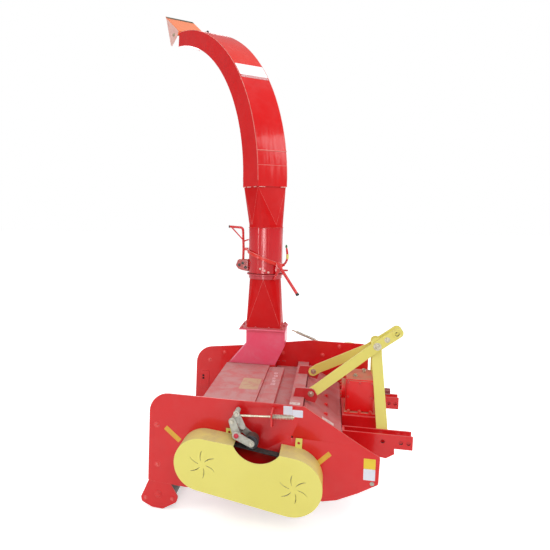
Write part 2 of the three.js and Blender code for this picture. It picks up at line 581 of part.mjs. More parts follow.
// ---------------------------------------------------------------- auger and blower
function augerFlight() {
  const [y0, y1, turns, perTurn] = [-480, BLOWER.y0 - 5, 3, 12];
  const rings = [];
  for (let i = 0; i <= turns * perTurn; i++) {
    const angle = (i / perTurn) * 2 * Math.PI;
    const y = y0 + ((y1 - y0) * i) / (turns * perTurn);
    const at = (r, dy) => V(AUGER.x + r * Math.cos(angle), y + dy, AUGER.z + r * Math.sin(angle));
    rings.push([at(AUGER.tube - 5, 0), at(AUGER.radius, 0), at(AUGER.radius, 5), at(AUGER.tube - 5, 5)]);
  }
  return loft(rings);
}
add('auger_screw', union(
  discY(AUGER.x, AUGER.z, AUGER.tube, -DRUM_END, BLOWER.y0 + 9),
  discY(AUGER.x, AUGER.z, AUGER.shaft, -SHAFT_END, HALF_WIDTH + 15, 16), augerFlight()), STEEL);

function blowerWheel() {
  const hub = { radius: 70, y0: 375, y1: 480 };
  const paddle = { from: 60, wide: 110, thick: 8, y: 428, lead: 0.3 };
  const parts = [cut(discY(AUGER.x, AUGER.z, hub.radius, hub.y0, hub.y1),
    discY(AUGER.x, AUGER.z, AUGER.shaft + GAP, hub.y0 - 5, hub.y1 + 5, 16))];
  for (let i = 0; i < 4; i++) {
    const geometry = new THREE.BoxGeometry(BLOWER.radius - paddle.from, paddle.wide, paddle.thick);
    geometry.translate((BLOWER.radius + paddle.from) / 2, 0, 0).rotateY((i * Math.PI) / 2 + paddle.lead);
    parts.push(solid(geometry.translate(AUGER.x, paddle.y, AUGER.z)));
  }
  return union(...parts);
}
add('blower_wheel', blowerWheel(), STEEL);

// ---------------------------------------------------------------- belts, pulleys and guards
function pulley(axis, radius, side) {
  const [y0, y1] = span(side, BELT.y - BELT.half - 4, BELT.y + BELT.half + 4);
  return cut(discY(axis.x, axis.z, radius, y0, y1, 32),
    discY(axis.x, axis.z, axis.shaft + GAP, y0 - 1, y1 + 1, 16));
}
function belt(a, b, ra, rb, side) {
  const [y0, y1] = span(side, BELT.y - BELT.half, BELT.y + BELT.half);
  const seat = 2.5; // the belt runs just clear of the pulley's solid rim
  return cut(link(a, b, ra + BELT.thick, rb + BELT.thick, y0, y1),
    link(a, b, ra + seat, rb + seat, y0 - 1, y1 + 1));
}
add('rotor_pulley_right', pulley(ROTOR, ROTOR.pulleyRight, -1), CAST);
add('rotor_pulley_left', pulley(ROTOR, ROTOR.pulleyLeft, 1), CAST);
add('auger_pulley', pulley(AUGER, AUGER.pulley, -1), CAST);
add('cross_shaft', union(
  discY(CROSS.x, CROSS.z, CROSS.pulley, BELT.y - BELT.half - 4, BELT.y + BELT.half + 4, 32),
  discY(CROSS.x, CROSS.z, CROSS.shaft, BOX.y - 4, SHAFT_END, 16)), CAST);
add('drive_belt_right', belt(AUGER, ROTOR, AUGER.pulley, ROTOR.pulleyRight, -1), BLACK);
add('drive_belt_left', belt(ROTOR, CROSS, ROTOR.pulleyLeft, CROSS.pulley, 1), BLACK);

function guard(a, b, ra, rb, side, opening) {
  const [y0, y1] = span(side, HALF_WIDTH + GAP, GUARD_FACE);
  const [c0, c1] = span(side, HALF_WIDTH - 1, GUARD_FACE - SHEET);
  return cut(link(a, b, ra, rb, y0, y1, 14), link(a, b, ra - SHEET, rb - SHEET, c0, c1, 14), opening);
}
const NOTCH = { x: 639, z: 595, radius: 140 };
const LOBE_REAR = { x: 333, z: 411 };
const LOBE_FRONT = { x: 812, z: 345 };
const NOTCH_LEFT = { x: 844, z: 628, radius: 95 };
const notch = ({ x, z, radius }, side) => discY(x, z, radius, ...span(side, 500, 700), 24);
add('belt_guard_right', guard(LOBE_REAR, LOBE_FRONT, 147, 160, -1, notch(NOTCH, -1)), YELLOW);
add('belt_guard_left', guard(ROTOR, CROSS, 125, 130, 1, notch(NOTCH_LEFT, 1)), YELLOW);

// ---------------------------------------------------------------- belt tensioners
const OUTSIDE = HALF_WIDTH + GAP;
const IDLER_RIGHT = { x: 598, z: 540 };
const IDLER_LEFT = { x: 857, z: 602 };

function idler(at, side) {
  const [y0, y1] = span(side, BELT.y - IDLER.half, BELT.y + IDLER.half);
  return cut(discY(at.x, at.z, IDLER.radius, y0, y1, 28), discY(at.x, at.z, 10, y0 - 1, y1 + 1, 12));
}
add('idler_pulley_right', idler(IDLER_RIGHT, -1), BLACK);
add('idler_pulley_left', idler(IDLER_LEFT, 1), BLACK);

/** Bell crank: a pivot boss on the side plate, one arm up to the rod and one down to the idler. */
function tensioner(pivot, head, wheel, side) {
  const plates = span(side, BELT.y + IDLER.half + 6, BELT.y + IDLER.half + 16);
  const outer = span(side, BELT.y + IDLER.half + 16, BELT.y + IDLER.half + 26);
  return union(
    link(head, pivot, 17, 21, ...plates, 8), link(pivot, wheel, 19, 17, ...outer, 8),
    discY(pivot.x, pivot.z, 17, ...span(side, OUTSIDE, BELT.y + IDLER.half + 36), 16),
    discY(wheel.x, wheel.z, 9.5, ...span(side, BELT.y - IDLER.half - 4, BELT.y + IDLER.half + 34), 12));
}
const HEAD_RIGHT = { x: 517, z: 680 };
const HEAD_LEFT = { x: 985, z: 790 };
add('tensioner_arm_right', tensioner({ x: 518, z: 574 }, HEAD_RIGHT, IDLER_RIGHT, -1), CAST);
add('tensioner_arm_left', tensioner({ x: 930, z: 720 }, HEAD_LEFT, IDLER_LEFT, 1), CAST);

const ROD_Y = BELT.y + IDLER.half - 8;

/** The rod from the tensioner's head, with its spring as a sleeve between two shares of its length. */
function tensionRod(head, end, side, from, to) {
  const [a, b] = [V(head.x, side * ROD_Y, head.z), V(end.x, side * ROD_Y, end.z)];
  const spring = rod(a.clone().lerp(b, from), a.clone().lerp(b, to), 13, 16);
  const eye = discY(head.x, head.z, 11, ...span(side, ROD_Y - 12, ROD_Y + 13), 12);
  return union(rod(a, b, 6, 12), spring, eye);
}
const along = (a, b, t) => ({ x: a.x + (b.x - a.x) * t, z: a.z + (b.z - a.z) * t });
const TAIL_RIGHT = { x: 820, z: 694 };
const TAIL_LEFT = { x: 720, z: 891 };
add('tension_rod_right', tensionRod(HEAD_RIGHT, TAIL_RIGHT, -1, 0.64, 0.985), STEEL);
add('tension_rod_left', tensionRod(HEAD_LEFT, TAIL_LEFT, 1, 0.39, 0.86), STEEL);

function rodBracket(at, z0, z1, side) {
  const reach = [HALF_WIDTH - 1, ROD_Y + 24];
  const outline = side < 0
    ? [[-reach[0], z0], [-reach[0], z1], [-reach[1], z1], [-reach[1], z1 - 70]]
    : [[reach[0], z0], [reach[0], z1], [reach[1], z1], [reach[1], z0 + 20]];
  return cut(plateX(outline, at.x - 4, at.x + 4), discX(side * ROD_Y, at.z, 9, at.x - 9, at.x + 9, 12));
}
const bracketRight = rodBracket(along(HEAD_RIGHT, TAIL_RIGHT, 0.613), 608, 712, -1);
const bracketLeft = rodBracket(along(HEAD_LEFT, TAIL_LEFT, 0.37), 762, 830, 1);
add('side_plate_right', union(sidePlate(-1), bracketRight), RED);
add('side_plate_left', union(sidePlate(1), bracketLeft), RED);

// ---------------------------------------------------------------- ground roller and parking stand
add('ground_roller', union(
  discY(ROLLER.x, ROLLER.z, ROLLER.radius, -ROLLER.half, ROLLER.half, 40),
  discY(ROLLER.x, ROLLER.z, ROLLER.axle, 3 - INNER, INNER - 3, 12)), BLACK);

function rollerBracket(side) {
  const [y0, y1] = span(side, SEAT - 10, SEAT);
  const outline = [
    [-11, 330], [-11, 210], [-62, 99, 14], [-58, 70, 14], [5, 41, 20], [71, 38, 20], [153, 88, 20],
    [164, 122, 20], [120, 192], [120, 330],
  ];
  return cut(plateY(outline, y0, y1), discY(ROLLER.x, ROLLER.z, ROLLER.axle + 2 * GAP, y0 - 1, y1 + 1, 12));
}
add('roller_bracket_right', rollerBracket(-1), RED);
add('roller_bracket_left', rollerBracket(1), RED);

const TUBE_WALL = 6;
const [STAND_X0, STAND_X1] = [STAND.x - STAND.half, STAND.x + STAND.half];
const STAND_EAR = [
  [-32, FRONT.z0 + 1], [32, FRONT.z0 + 1], [24, STAND.hinge - 20, 16], [-24, STAND.hinge - 20, 16],
];
add('front_tube', union(
  cut(box(FRONT.x0, FRONT.x1, -SEAT, SEAT, FRONT.z0, FRONT.z1),
    box(FRONT.x0 + TUBE_WALL, FRONT.x1 - TUBE_WALL, -SEAT - 1, SEAT + 1,
      FRONT.z0 + TUBE_WALL, FRONT.z1 - TUBE_WALL)),
  plateX(STAND_EAR, STAND_X0 - 11, STAND_X0 - 5), plateX(STAND_EAR, STAND_X1 + 5, STAND_X1 + 11),
  discX(0, STAND.hinge, STAND.pin, STAND_X0 - 8, STAND_X1 + 8, 12)), RED);
add('parking_stand', union(
  cut(box(STAND_X0, STAND_X1, -STAND.half, STAND.half, GROUND + STAND.foot, STAND.hinge + STAND.half + 1),
    discX(0, STAND.hinge, STAND.pin + 0.4, STAND_X0 - 1, STAND_X1 + 1, 12)),
  box(STAND.x - STAND.footX, STAND.x + STAND.footX, -STAND.footY, STAND.footY,
    GROUND, GROUND + STAND.foot)), RED);

// ---------------------------------------------------------------- origin
// on the ground, under the middle of the whole outline
const bounds = new THREE.Box3().setFromObject(group);
group.position.set(-(bounds.min.x + bounds.max.x) / 2, -(bounds.min.y + bounds.max.y) / 2, -bounds.min.z);

export default group;
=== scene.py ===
# %% [markdown]
# # A mounted forage harvester
# The machine hangs on a tractor's three-point linkage and rests on a ground roller. A flail rotor cuts
# the crop, a cross auger carries it to a blower, and the blower throws it up a tall swivelling chute.
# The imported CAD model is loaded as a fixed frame. Its sizes are already right, so this script only
# gives each sub-part its finished surface: rounded edges, welds, bolts, belts, springs, paint and dust.

import bmesh
import bpy
import json
from math import acos, atan2, cos, hypot, pi, radians, sin, tan
from mathutils import Matrix, Vector

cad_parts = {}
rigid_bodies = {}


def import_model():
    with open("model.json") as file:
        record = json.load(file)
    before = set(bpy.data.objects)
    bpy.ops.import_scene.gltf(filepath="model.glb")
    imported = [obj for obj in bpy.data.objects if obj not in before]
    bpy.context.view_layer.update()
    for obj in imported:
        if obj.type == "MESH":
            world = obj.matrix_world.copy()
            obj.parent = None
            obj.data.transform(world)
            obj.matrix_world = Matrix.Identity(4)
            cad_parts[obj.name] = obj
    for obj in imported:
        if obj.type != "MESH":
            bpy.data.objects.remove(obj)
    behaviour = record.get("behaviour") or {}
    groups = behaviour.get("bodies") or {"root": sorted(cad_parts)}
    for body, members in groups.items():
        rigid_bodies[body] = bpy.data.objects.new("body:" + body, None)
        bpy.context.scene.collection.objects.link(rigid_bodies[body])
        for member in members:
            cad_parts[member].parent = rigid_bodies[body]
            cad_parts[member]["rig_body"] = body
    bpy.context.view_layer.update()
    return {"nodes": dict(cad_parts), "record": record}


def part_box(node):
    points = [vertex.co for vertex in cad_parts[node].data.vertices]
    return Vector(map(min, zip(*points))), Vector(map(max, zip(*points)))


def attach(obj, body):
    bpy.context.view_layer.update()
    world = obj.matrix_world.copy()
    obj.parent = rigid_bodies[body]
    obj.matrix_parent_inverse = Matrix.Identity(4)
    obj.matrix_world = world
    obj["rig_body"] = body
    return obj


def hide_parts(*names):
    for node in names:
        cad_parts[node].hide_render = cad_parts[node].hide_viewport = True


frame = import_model()

# %% [markdown]
# ## Where things are
# Every place is given in the machine's own coordinates: x from the rear edge of the side plates
# towards the tractor, y to the left from the centre plane, z up from a level just below the ground.
# The right side plate says where that frame sits, so a new CAD pack moves every piece with it.

# %% Machine coordinates
plate_right, plate_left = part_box("side_plate_right"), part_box("side_plate_left")
REAR = plate_right[0].x + 0.013
BASE = plate_right[0].z - 0.195
MIDDLE = (plate_right[1].y + plate_left[0].y) / 2
HALF_INNER = (plate_left[0].y - plate_right[1].y) / 2
PLATE = 0.008
OUTER = HALF_INNER + PLATE


def at(x, y, z):
    return Vector((REAR + x, MIDDLE + y, BASE + z))


def box_of(node):
    shift = at(0, 0, 0)
    return [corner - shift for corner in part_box(node)]


def middle_of(node):
    low, high = box_of(node)
    return (low + high) / 2


def on_shaft(centre, y):
    """The point y along the line that a shaft turns about."""
    return at(centre.x, y, centre.z)


def radius_of(node):
    low, high = box_of(node)
    return (high.z - low.z) / 2


ROTOR = middle_of("flail_rotor")
AUGER = middle_of("auger_pulley")
CROSS = middle_of("cross_shaft")
ROLLER = middle_of("ground_roller")
IDLER_RIGHT = middle_of("idler_pulley_right")
IDLER_LEFT = middle_of("idler_pulley_left")
CHUTE = middle_of("chute_sleeve")
BELT_Y = -middle_of("drive_belt_right").y
GUARD_Y = -box_of("belt_guard_right")[0].y
print("inner half width", round(HALF_INNER, 4), "belt plane", round(BELT_Y, 4), "guard face", round(GUARD_Y, 4))

# %% [markdown]
# ## The viewpoint
# The camera stands at eye height off the machine's right rear, so that the right belt guard, the top
# sheets and the whole chute are seen at once. Its lens and shift keep upright edges upright.

# %% Camera
EYE = at(0.97474, -3.22235, 1.74923)
RIGHT = Vector((0.97123254, 0.23813305, 0.0))
UP = Vector((-0.0281931, 0.11498637, 0.99296691))
camera = bpy.data.objects.new("camera", bpy.data.cameras.new("camera"))
bpy.context.scene.collection.objects.link(camera)
axes = Matrix((RIGHT, UP, RIGHT.cross(UP))).transposed()
camera.matrix_world = Matrix.Translation(EYE) @ axes.to_4x4()
camera.data.sensor_width = 36
camera.data.lens = 34.04
camera.data.shift_x = 0.1316
bpy.context.scene.camera = camera
bpy.context.scene.view_settings.view_transform = "Standard"
print("camera stands", round(EYE.z, 2), "m above the ground")

# %% [markdown]
# ## Making shader nodes with little code
# A material is a small graph. This helper adds one node, sets its own options, and fills its inputs:
# a socket is linked, and anything else is typed in as a value.


# %% One node of a graph
def add(tree, kind, inputs=None, **settings):
    made = tree.nodes.new(kind)
    for name, value in settings.items():
        setattr(made, name, value)
    for name, value in (inputs or {}).items():
        if isinstance(value, bpy.types.NodeSocket):
            tree.links.new(value, made.inputs[name])
        else:
            made.inputs[name].default_value = value
    return made


def group(name, inputs, outputs):
    tree = bpy.data.node_groups.new(name, "ShaderNodeTree")
    for label, kind, value in inputs:
        socket = tree.interface.new_socket(label, in_out="INPUT", socket_type=kind)
        socket.default_value = value
    for label, kind in outputs:
        tree.interface.new_socket(label, in_out="OUTPUT", socket_type=kind)
    return tree, tree.nodes.new("NodeGroupInput"), tree.nodes.new("NodeGroupOutput")


def mix(tree, factor, a, b, blend="MIX"):
    made = add(tree, "ShaderNodeMix", {0: factor, 6: a, 7: b}, data_type="RGBA", blend_type=blend)
    return made.outputs[2]


def ramp(tree, value, low, high, to_low=0.0, to_high=1.0):
    made = add(tree, "ShaderNodeMapRange", {0: value, 1: low, 2: high, 3: to_low, 4: to_high})
    made.interpolation_type = "SMOOTHSTEP"
    return made.outputs[0]


def maths(tree, operation, a, b=0.0):
    return add(tree, "ShaderNodeMath", {0: a, 1: b}, operation=operation, use_clamp=True).outputs[0]


def noise(tree, where, scale, detail, **more):
    values = {"Vector": where, "Scale": scale, "Detail": detail, **more}
    return add(tree, "ShaderNodeTexNoise", values).outputs[0]


COLOUR, FLOAT = "NodeSocketColor", "NodeSocketFloat"

# %% [markdown]
# ## Dust
# Fine field dust settles on whatever faces up, thinner where hands and sleeves have brushed it off.
# The group finds upward faces from the surface's own normal, breaks that up with two sizes of noise,
# and gives back a colour and a mask for the roughness. Every paint here uses it with its own amount.


# %% Dust group
def make_dust():
    tree, given, out = group(
        "dust",
        [("Paint", COLOUR, (1, 1, 1, 1)), ("Dust", COLOUR, (0.5, 0.4, 0.35, 1)), ("Amount", FLOAT, 0.5),
         ("Everywhere", FLOAT, 0.05), ("Grain", FLOAT, 9.0)],
        [("Colour", COLOUR), ("Mask", FLOAT)],
    )
    place = add(tree, "ShaderNodeTexCoord")
    up = add(tree, "ShaderNodeSeparateXYZ", {0: place.outputs["Normal"]}).outputs["Z"]
    facing = ramp(tree, up, 0.25, 0.8)
    patches = noise(tree, place.outputs["Object"], given.outputs["Grain"], 8.0, Roughness=0.65, Distortion=0.6)
    specks = noise(tree, place.outputs["Object"], 170.0, 3.0)
    uneven = ramp(tree, patches, 0.3, 0.62, 0.55, 1.0)
    settled = maths(tree, "MULTIPLY", maths(tree, "MULTIPLY", facing, uneven), given.outputs["Amount"])
    film = maths(tree, "MULTIPLY", ramp(tree, patches, 0.35, 0.75), given.outputs["Everywhere"])
    both = maths(tree, "ADD", settled, film)
    mask = maths(tree, "MULTIPLY", both, ramp(tree, specks, 0.3, 0.6, 0.86, 1.0))
    tree.links.new(mix(tree, mask, given.outputs["Paint"], given.outputs["Dust"]), out.inputs["Colour"])
    tree.links.new(mask, out.inputs["Mask"])
    return tree


DUST = make_dust()

# %% [markdown]
# ## Paint on sheet metal
# Sprayed enamel is never one flat colour: it is thicker in some places, it has a fine orange-peel
# skin, and it thins along cut edges. The paler edge colour stands for that thin paint and is also a
# painted highlight, the light that a rounded edge catches. The group varies the colour with broad
# noise, and finds the edges by comparing the true normal with one rounded over a few millimetres.


# %% Sprayed paint group
def make_sprayed():
    tree, given, out = group(
        "sprayed_paint",
        [("Paint", COLOUR, (1, 0, 0, 1)), ("Thin and Highlit", COLOUR, (1, 0.4, 0.3, 1)), ("Deep", COLOUR, (0.4, 0, 0, 1)),
         ("Edge", FLOAT, 0.5), ("Variation", FLOAT, 0.3)],
        [("Colour", COLOUR), ("Peel", FLOAT)],
    )
    place = add(tree, "ShaderNodeTexCoord")
    rounded = add(tree, "ShaderNodeBevel", {"Radius": 0.0035}, samples=4)
    true = add(tree, "ShaderNodeNewGeometry")
    agree = add(tree, "ShaderNodeVectorMath", {0: rounded.outputs[0], 1: true.outputs["Normal"]},
                operation="DOT_PRODUCT")
    edge = ramp(tree, agree.outputs["Value"], 0.97, 0.8)
    broken = ramp(tree, noise(tree, place.outputs["Object"], 40.0, 4.0), 0.35, 0.6)
    # Paler along the edges: thin paint, and also a painted highlight.
    thin_and_highlit_edge = maths(tree, "MULTIPLY", maths(tree, "MULTIPLY", edge, broken), given.outputs["Edge"])
    broad = noise(tree, place.outputs["Object"], 2.6, 3.0)
    deeper = maths(tree, "MULTIPLY", ramp(tree, broad, 0.45, 0.7), given.outputs["Variation"])
    body = mix(tree, deeper, given.outputs["Paint"], given.outputs["Deep"])
    tree.links.new(mix(tree, thin_and_highlit_edge, body, given.outputs["Thin and Highlit"]), out.inputs["Colour"])
    tree.links.new(noise(tree, place.outputs["Object"], 260.0, 2.0), out.inputs["Peel"])
    return tree


SPRAYED = make_sprayed()

# %% [markdown]
# ## The finishes
# One function makes every painted finish, because they differ only in colour, gloss and how dusty
# they are. Bare metal and rubber get their own short graphs below. Colours are typed as they look on
# a screen, and turned into the linear values that shaders work in.


# %% Colours and a painted finish
def screen(red, green, blue):
    def linear(level):
        level /= 255
        return level / 12.92 if level <= 0.04045 else ((level + 0.055) / 1.055) ** 2.4

    return (linear(red), linear(green), linear(blue), 1.0)


DRY_DUST = (206, 158, 156)
STRAW_DUST = (190, 172, 128)


def blank(name, roughness, metallic=0.0, glance=0.36):
    material = bpy.data.materials.new(name)
    material.use_nodes = True
    shader = material.node_tree.nodes["Principled BSDF"]
    for label, value in (("Roughness", roughness), ("Metallic", metallic), ("Specular IOR Level", glance),
                         ("Coat Roughness", 0.08)):
        shader.inputs[label].default_value = value
    return material, material.node_tree, shader


def painted(name, colour, deep, thin_and_highlit, dust, amount, everywhere=0.03, gloss=0.28, edge=0.5, variation=0.35, wave=0.0,
            shine=0.22, glance=0.36):
    material, tree, shader = blank(name, gloss, glance=glance)
    coat = add(tree, "ShaderNodeGroup", node_tree=SPRAYED)
    for label, value in (("Paint", screen(*colour)), ("Thin and Highlit", screen(*thin_and_highlit)), ("Deep", screen(*deep)), ("Edge", edge),
                         ("Variation", variation)):
        coat.inputs[label].default_value = value
    dusty = add(tree, "ShaderNodeGroup", node_tree=DUST)
    tree.links.new(coat.outputs["Colour"], dusty.inputs["Paint"])
    for label, value in (("Dust", screen(*dust)), ("Amount", amount), ("Everywhere", everywhere)):
        dusty.inputs[label].default_value = value
    tree.links.new(dusty.outputs["Colour"], shader.inputs["Base Color"])
    tree.links.new(ramp(tree, dusty.outputs["Mask"], 0.0, 0.8, gloss, 0.85), shader.inputs["Roughness"])
    tree.links.new(ramp(tree, dusty.outputs["Mask"], 0.05, 0.6, shine, 0.0), shader.inputs["Coat Weight"])
    height = maths(tree, "MULTIPLY", coat.outputs["Peel"], 0.12)
    bump = add(tree, "ShaderNodeBump", {"Height": height, "Strength": 0.25, "Distance": 0.0006})
    if wave:
        place = add(tree, "ShaderNodeTexCoord")
        stretched = add(tree, "ShaderNodeMapping", {"Vector": place.outputs["Object"], "Scale": (1, 1, 0.12)})
        rolled = noise(tree, stretched.outputs[0], 26.0, 1.0)
        sheet = add(tree, "ShaderNodeBump", {"Height": rolled, "Strength": wave, "Distance": 0.004})
        tree.links.new(sheet.outputs[0], bump.inputs["Normal"])
    tree.links.new(bump.outputs[0], shader.inputs["Normal"])
    return material


RED_SCREEN = (216, 12, 16)
RED_DEEP = (196, 8, 14)
RED_THIN_AND_HIGHLIT = (236, 120, 112)
red_paint = painted("red_paint", RED_SCREEN, RED_DEEP, RED_THIN_AND_HIGHLIT, DRY_DUST, 0.25, gloss=0.3)
chute_red = painted("chute_red_paint", (220, 8, 8), RED_DEEP, RED_THIN_AND_HIGHLIT, DRY_DUST, 0.12, gloss=0.2, wave=0.5)
fold_red = painted("folded_red_paint", (208, 4, 6), (186, 4, 10), RED_THIN_AND_HIGHLIT, DRY_DUST, 0.12, gloss=0.42, wave=0.35,
                   shine=0.05, glance=0.12)
sleeve_red = painted("sleeve_red_paint", (208, 6, 22), (184, 4, 20), RED_THIN_AND_HIGHLIT, DRY_DUST, 0.12, gloss=0.2, wave=0.5)
# Pale red for the crease lines: a painted highlight.
crease_highlight = painted("crease_highlight_paint", (224, 60, 56), (206, 32, 32), (244, 170, 160), DRY_DUST, 0.1)
# The flap's light orange-red is painted light: the flap's face turns up to the light.
flap_lit_red = painted("flap_lit_red_paint", (255, 140, 84), (250, 108, 68), RED_THIN_AND_HIGHLIT, DRY_DUST, 0.1, gloss=0.25)
DECK_DUST = (188, 134, 132)
flange_red = painted("flange_red_paint", (206, 52, 64), (184, 28, 36), RED_THIN_AND_HIGHLIT, DECK_DUST, 0.5, everywhere=0.08)
bracket_red = painted("bracket_red_paint", (178, 44, 38), (142, 24, 22), RED_THIN_AND_HIGHLIT, STRAW_DUST, 0.5)
dusty_red = painted("dusty_red_paint", (198, 30, 36), (182, 28, 34), RED_THIN_AND_HIGHLIT, DECK_DUST, 0.92,
                    everywhere=0.12, gloss=0.35)
hood_red = painted("hood_red_paint", (184, 22, 26), (176, 20, 24), RED_THIN_AND_HIGHLIT, DECK_DUST, 0.62,
                   everywhere=0.06, gloss=0.4)
# The duct's pink tone and pink dust are partly real dust and partly a painted sheen of reflected light.
duct_dust_and_sheen = painted("duct_dust_and_sheen_paint", (246, 92, 124), (236, 60, 90), (240, 150, 170), (232, 156, 174),
                   0.6, everywhere=0.3, gloss=0.3)
# Pale red for weld lines and edges: a painted highlight, for the light that they catch.
highlight_pale = painted("painted_highlight_paint", (238, 128, 116), (226, 84, 78), (250, 206, 198), DRY_DUST, 0.1, gloss=0.3)
# A lighter red for bolt heads: a painted highlight on the domed heads.
bolt_highlight_red = painted("bolt_highlight_red_paint", (230, 60, 58), (216, 34, 36), (246, 170, 164), DRY_DUST, 0.3, gloss=0.22)
# A lighter copy of the chute red: painted light, on parts that face the light.
lit_orange_red = painted("sunlit_red_paint", (228, 38, 18), (218, 24, 14), RED_THIN_AND_HIGHLIT, DRY_DUST, 0.1, gloss=0.25, wave=0.3)
gear_red = painted("gearbox_red_paint", (236, 10, 14), (212, 8, 14), RED_THIN_AND_HIGHLIT, (176, 134, 108), 0.85,
                   everywhere=0.04, gloss=0.28)
shaft_red = painted("shaft_red_paint", (134, 20, 34), (104, 14, 26), (214, 150, 160), DRY_DUST, 0.4,
                    gloss=0.4)
yellow_paint = painted("yellow_paint", (232, 222, 112), (224, 212, 98), (245, 240, 190),
                       STRAW_DUST, 0.75, gloss=0.38, edge=0.35, variation=0.4)
black_paint = painted("black_paint", (34, 34, 36), (24, 24, 26), (120, 118, 114), STRAW_DUST, 0.25,
                      gloss=0.42)
idler_black = painted("idler_black_paint", (44, 44, 52), (30, 30, 38), (130, 112, 114), STRAW_DUST, 0.12,
                      everywhere=0.02, gloss=0.4, edge=0.2)
roller_black = painted("roller_black_paint", (30, 28, 28), (44, 34, 32), (130, 122, 112), STRAW_DUST,
                       0.16, everywhere=0.06, gloss=0.5, variation=0.7)
print("painted finishes:", [m.name for m in bpy.data.materials if m.name.endswith("paint")])

# %% [markdown]
# Bare metal shows brushing or casting grain and a little darkening, never one even grey. Zinc-plated
# bolts are bright and slightly yellow, the links of the belt tensioners are rough castings, and the
# rotor, auger and blower are polished by the crop in their middles and brown with rust in the corners.


# %% Metals and rubber
def metal(name, light, dark, roughness, metallic, grain, contrast=0.6, bump_height=0.0004):
    material, tree, shader = blank(name, roughness, metallic)
    place = add(tree, "ShaderNodeTexCoord").outputs["Object"]
    blotches, fine = noise(tree, place, grain, 7.0, Roughness=0.6), noise(tree, place, grain * 9, 2.0)
    darker = maths(tree, "MULTIPLY", ramp(tree, blotches, 0.4, 0.68), contrast)
    tree.links.new(mix(tree, darker, screen(*light), screen(*dark)), shader.inputs["Base Color"])
    tree.links.new(ramp(tree, fine, 0.3, 0.7, roughness - 0.08, roughness + 0.14), shader.inputs["Roughness"])
    bump = add(tree, "ShaderNodeBump", {"Height": fine, "Strength": 0.35, "Distance": bump_height})
    tree.links.new(bump.outputs[0], shader.inputs["Normal"])
    return material


plated_steel = metal("plated_steel", (205, 198, 176), (150, 140, 112), 0.34, 0.75, 60)
grey_casting = metal("grey_casting", (186, 184, 172), (140, 136, 124), 0.55, 0.25, 45, bump_height=0.001)
worn_steel = metal("worn_steel", (150, 146, 140), (104, 74, 54), 0.45, 0.7, 18, contrast=0.85)
bare_iron = metal("bare_iron", (120, 116, 112), (86, 62, 48), 0.6, 0.6, 30, contrast=0.7)
belt_rubber = metal("belt_rubber", (46, 45, 45), (86, 82, 76), 0.75, 0.0, 35, bump_height=0.0005)
red_plastic = metal("red_plastic", (206, 54, 74), (170, 40, 56), 0.5, 0.0, 50, contrast=0.4)
label_white = metal("blank_label_white", (228, 230, 240), (206, 208, 220), 0.45, 0.0, 22, contrast=0.35)
label_yellow = metal("blank_label_yellow", (236, 204, 60), (222, 186, 44), 0.45, 0.0, 22, contrast=0.35)
label_orange = metal("blank_label_orange", (226, 176, 62), (206, 150, 50), 0.5, 0.0, 60, contrast=0.45)
label_dusty = metal("blank_label_dusty", (212, 196, 190), (186, 132, 128), 0.6, 0.0, 60, contrast=0.8)
faded_label = metal("blank_label_faded", (190, 156, 124), (186, 118, 112), 0.65, 0.0, 30, contrast=0.7)
scuffed = metal("scuffed_paint", (216, 176, 176), (190, 96, 98), 0.6, 0.0, 110, contrast=0.95)
# Pale paint for the flap's cheeks, also used as painted highlight on the joint stitches and as painted glints on the
# set screws.
pale_cheek_and_glint = metal("pale_cheek_and_glint_paint", (240, 196, 186), (232, 150, 134), 0.4, 0.0, 40, contrast=0.5)
spring_steel = metal("spring_steel", (208, 202, 186), (120, 114, 100), 0.42, 0.45, 60)
dark_casting = metal("dark_casting", (176, 173, 164), (118, 113, 104), 0.55, 0.25, 45, bump_height=0.001)
band_white = metal("white_band_white", (250, 248, 248), (244, 238, 238), 0.35, 0.0, 14, contrast=0.4)
green_plastic = metal("green_plastic", (74, 128, 72), (54, 100, 54), 0.5, 0.0, 50, contrast=0.4)
dark_gap = metal("dark_gap", (20, 14, 14), (30, 18, 18), 0.9, 0.0, 20)
print("finishes in all:", len(bpy.data.materials))

# %% [markdown]
# ## Floor and light
# A plain pale floor and soft lamps on all sides show the object without colouring it. The floor is
# white to the camera and to reflections, and still takes the object's shadow.


# %% Floor, world and lamps
def make_floor():
    mesh = bpy.data.meshes.new("floor")
    reach, drop = 40.0, -0.0008
    mesh.from_pydata([(-reach, -reach, drop), (reach, -reach, drop), (reach, reach, drop), (-reach, reach, drop)], [],
                     [(0, 1, 2, 3)])
    floor = bpy.data.objects.new("floor", mesh)
    bpy.context.scene.collection.objects.link(floor)
    material, tree, shader = blank("pale_floor", 0.9, glance=0.0)
    shader.inputs["Base Color"].default_value = (0.86, 0.86, 0.86, 1)
    seen = add(tree, "ShaderNodeLightPath")
    shown = maths(tree, "MAXIMUM", seen.outputs["Is Camera Ray"], seen.outputs["Is Glossy Ray"])
    shown = maths(tree, "MAXIMUM", shown, seen.outputs["Is Transmission Ray"])
    shader.inputs["Emission Strength"].default_value = 1.0
    level = mix(tree, shown, (0, 0, 0, 1), (0.57, 0.57, 0.57, 1))
    tree.links.new(level, shader.inputs["Emission Color"])
    mesh.materials.append(material)


def make_world():
    world = bpy.data.worlds.new("studio")
    bpy.context.scene.world = world
    world.use_nodes = True
    tree = world.node_tree
    background = tree.nodes["Background"]
    seen = add(tree, "ShaderNodeLightPath")
    shown = maths(tree, "MAXIMUM", seen.outputs["Is Camera Ray"], seen.outputs["Is Transmission Ray"])
    glossy = mix(tree, seen.outputs["Is Glossy Ray"], (0.56, 0.56, 0.57, 1), (0.3, 0.3, 0.31, 1))
    tree.links.new(mix(tree, shown, glossy, (1, 1, 1, 1)), background.inputs["Color"])
    background.inputs["Strength"].default_value = 1.0


